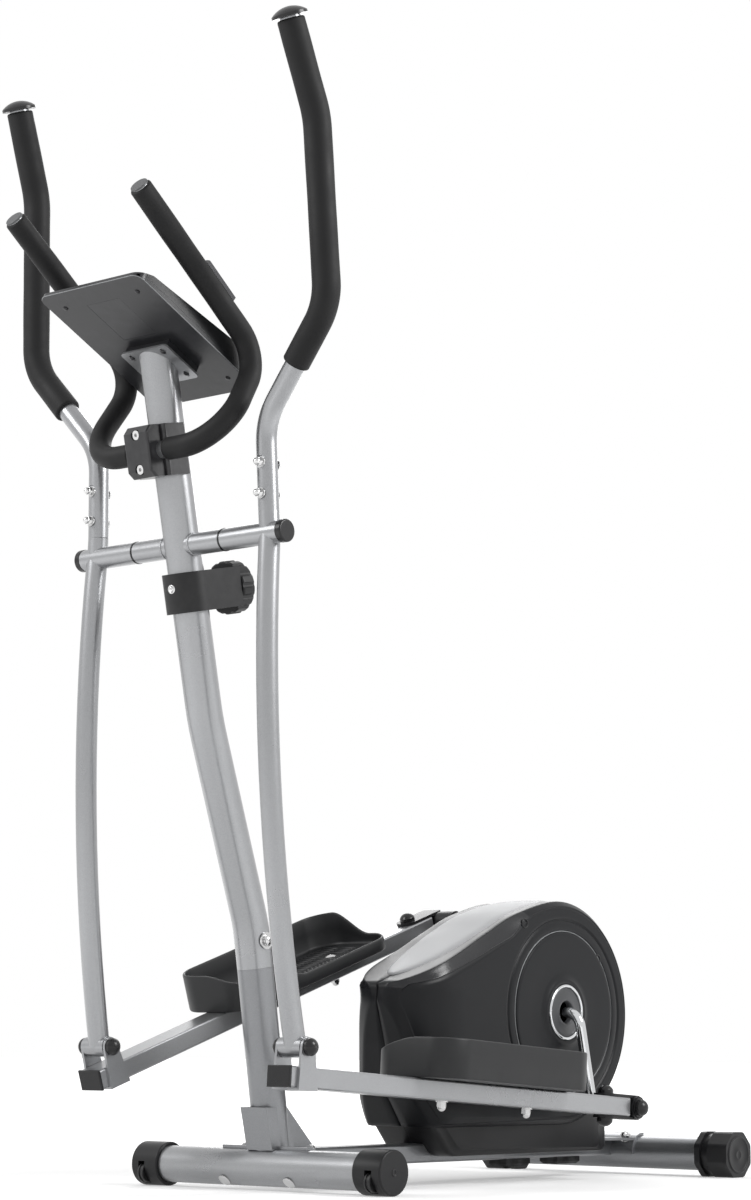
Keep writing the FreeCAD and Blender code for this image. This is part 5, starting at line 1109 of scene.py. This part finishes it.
# ---------------------------------------------------------------- end-cap faces and small screws
@dataclass
class EndCapFaces:
    """Moulded rims and centre dimples on the stabiliser caps, and the knob housing's screw."""

    wheel_face: float = 234.8
    level_face: float = 244.2
    level_y: float = 830.6
    level_z: float = 35.0
    front_z: float = 31.2
    knob_z: float = 825.0
    box_radius: float = 34.0

    def build(self, shop: Workshop) -> None:
        """Add rims on both pairs of caps and the screw."""
        for side, sign in SIDES:
            out = Vector((sign, 0, 0))
            rim = lathe(f"level_rim_{side}", Vector((sign * self.level_face, self.level_y, self.level_z)), out,
                        ((29.5, -0.2), (29.0, 1.0), (28.0, 1.4), (26.6, 1.3), (25.6, 0.5), (25.0, 0.1), (8.0, 0.1),
                         (7.2, 0.5), (6.0, 0.5), (5.4, 0.1), (0.3, 0.1)), 72)
            shop.fit(rim, "black_plastic", f"level_{side}")
            rim = lathe(f"wheel_cap_rim_{side}", Vector((sign * self.wheel_face, 0.0, self.front_z)), out,
                        ((5.4, -0.1), (5.0, 0.6), (4.2, 0.8), (3.4, 0.5), (3.0, 0.1), (0.3, 0.1)), 48)
            shop.fit(rim, "black_plastic", "base")
        joint = LINKAGE.joint("tension_turn")
        head = lathe("band_screw", Vector((0.0, joint.y - self.box_radius, self.knob_z)), Vector((0, -1, -0.2)),
                     ((6.6, -1.5), (6.6, 0.3), (6.0, 0.9), (4.8, 1.0), (4.4, 0.4), (4.2, 1.8), (3.6, 2.6),
                      (2.2, 3.0), (1.8, 1.2), (0.2, 1.1)), 40)
        shop.fit(head, "bright_steel", "base")


# ---------------------------------------------------------------- studio
@dataclass
class Studio:
    """Pale floor, soft lights and the camera."""

    lens: float = 84.13
    camera_spot: tuple = (2702.3, -2956.5, 198.6)
    yaw: float = 40.29
    rise: float = 9.06
    roll: float = 0.318
    fill: float = 0.38

    def camera(self) -> None:
        """Set the camera at the wanted viewing angle."""
        data = bpy.data.cameras.new("camera")
        data.lens = self.lens
        data.sensor_width = 36.0
        data.clip_end = 60.0
        camera = bpy.data.objects.new("camera", data)
        bpy.context.scene.collection.objects.link(camera)
        yaw, rise, roll = (math.radians(v) for v in (self.yaw, self.rise, self.roll))
        ahead = Vector((-math.sin(yaw) * math.cos(rise), math.cos(yaw) * math.cos(rise), math.sin(rise)))
        right = Vector((math.cos(yaw), math.sin(yaw), 0))
        up = right.cross(ahead)
        across = right * math.cos(roll) + up * math.sin(roll)
        above = up * math.cos(roll) - right * math.sin(roll)
        turn = Matrix((across, above, -ahead)).transposed()
        camera.matrix_world = Matrix.Translation(PLAN.at(*self.camera_spot)) @ turn.to_4x4()
        bpy.context.scene.camera = camera

    def background(self) -> None:
        """White to the camera and in reflections, plain grey light otherwise."""
        world = bpy.data.worlds.new("studio")
        world.use_nodes = True
        bpy.context.scene.world = world
        graph = Graph(world.node_tree)
        base = world.node_tree.nodes["Background"]
        base.inputs["Color"].default_value = (1.0, 1.0, 1.0, 1.0)
        rays = graph.add("ShaderNodeLightPath")
        seen = graph.math("MAXIMUM", rays.outputs["Is Camera Ray"], rays.outputs["Is Transmission Ray"])
        seen = graph.math("MAXIMUM", seen, rays.outputs["Is Glossy Ray"])
        strength = graph.math("ADD", graph.math("MULTIPLY", seen, 1.0 - self.fill), self.fill)
        graph.tree.links.new(strength, base.inputs["Strength"])

    def floor(self) -> None:
        """Wide pale floor that looks white and keeps a soft shadow."""
        low = CAD_BOX[0].z
        reach = 30.0
        piece = mesh_piece("floor", [Vector((-reach, -reach, low)), Vector((reach, -reach, low)),
                                     Vector((reach, reach, low)), Vector((-reach, reach, low))], [(0, 1, 2, 3)])
        material = bpy.data.materials.new("floor_white")
        material.use_nodes = True
        graph = Graph(material.node_tree)
        shader = material.node_tree.nodes["Principled BSDF"]
        shader.inputs["Base Color"].default_value = (0.88, 0.88, 0.88, 1.0)
        shader.inputs["Roughness"].default_value = 0.9
        shader.inputs["Specular IOR Level"].default_value = 0.1
        rays = graph.add("ShaderNodeLightPath")
        seen = graph.math("MAXIMUM", rays.outputs["Is Camera Ray"], rays.outputs["Is Glossy Ray"])
        where = graph.add("ShaderNodeTexCoord")
        away = graph.add("ShaderNodeVectorMath", {"operation": "LENGTH"})
        graph.tree.links.new(where.outputs["Object"], away.inputs[0])
        lift = graph.add("ShaderNodeMapRange", Value=away.outputs["Value"], From_Min=0.9, From_Max=3.2,
                         To_Min=0.34, To_Max=1.0)
        glow = graph.math("MULTIPLY", seen, lift.outputs["Result"])
        shader.inputs["Emission Color"].default_value = (1.0, 1.0, 1.0, 1.0)
        graph.tree.links.new(glow, shader.inputs["Emission Strength"])
        piece.data.materials.append(material)

    def lamp(self, name: str, spot: tuple, aim: tuple, size: float, power: float) -> None:
        """Add a square soft box.

        Args:
            name: Name of the lamp.
            spot: Place in metres.
            aim: Point that it faces.
            size: Side in metres.
            power: Watts.
        """
        data = bpy.data.lights.new(name, "AREA")
        data.size = size
        data.energy = power
        lamp = bpy.data.objects.new(name, data)
        lamp.location = spot
        lamp.rotation_euler = (Vector(aim) - Vector(spot)).to_track_quat("-Z", "Y").to_euler()
        bpy.context.scene.collection.objects.link(lamp)

    def build(self) -> None:
        """Set up the whole studio."""
        self.camera()
        self.background()
        self.floor()
        middle = (0.0, 0.0, 0.7)
        self.lamp("key", (2.6, 0.9, 2.2), middle, 1.3, 62.0)
        self.lamp("front", (-1.6, -3.0, 2.8), middle, 1.5, 60.0)
        self.lamp("back", (-2.2, 2.6, 2.4), middle, 1.6, 30.0)
        bpy.context.scene.view_settings.view_transform = "Standard"


def main() -> None:
    """Build the looks in order."""
    logging.basicConfig(level=logging.INFO, format="%(message)s")
    shop = Workshop()
    shop.dress_cad()
    for assembly in (FoamGrips(), Pedals(), DriveHousing(), WeldBeads(), ConsoleHighlightBead(), EndCapFaces()):
        assembly.build(shop)
        LOG.info("%s done, %d pieces so far", type(assembly).__name__, shop.count)
    Studio().build()


if __name__ == "__main__":
    main()
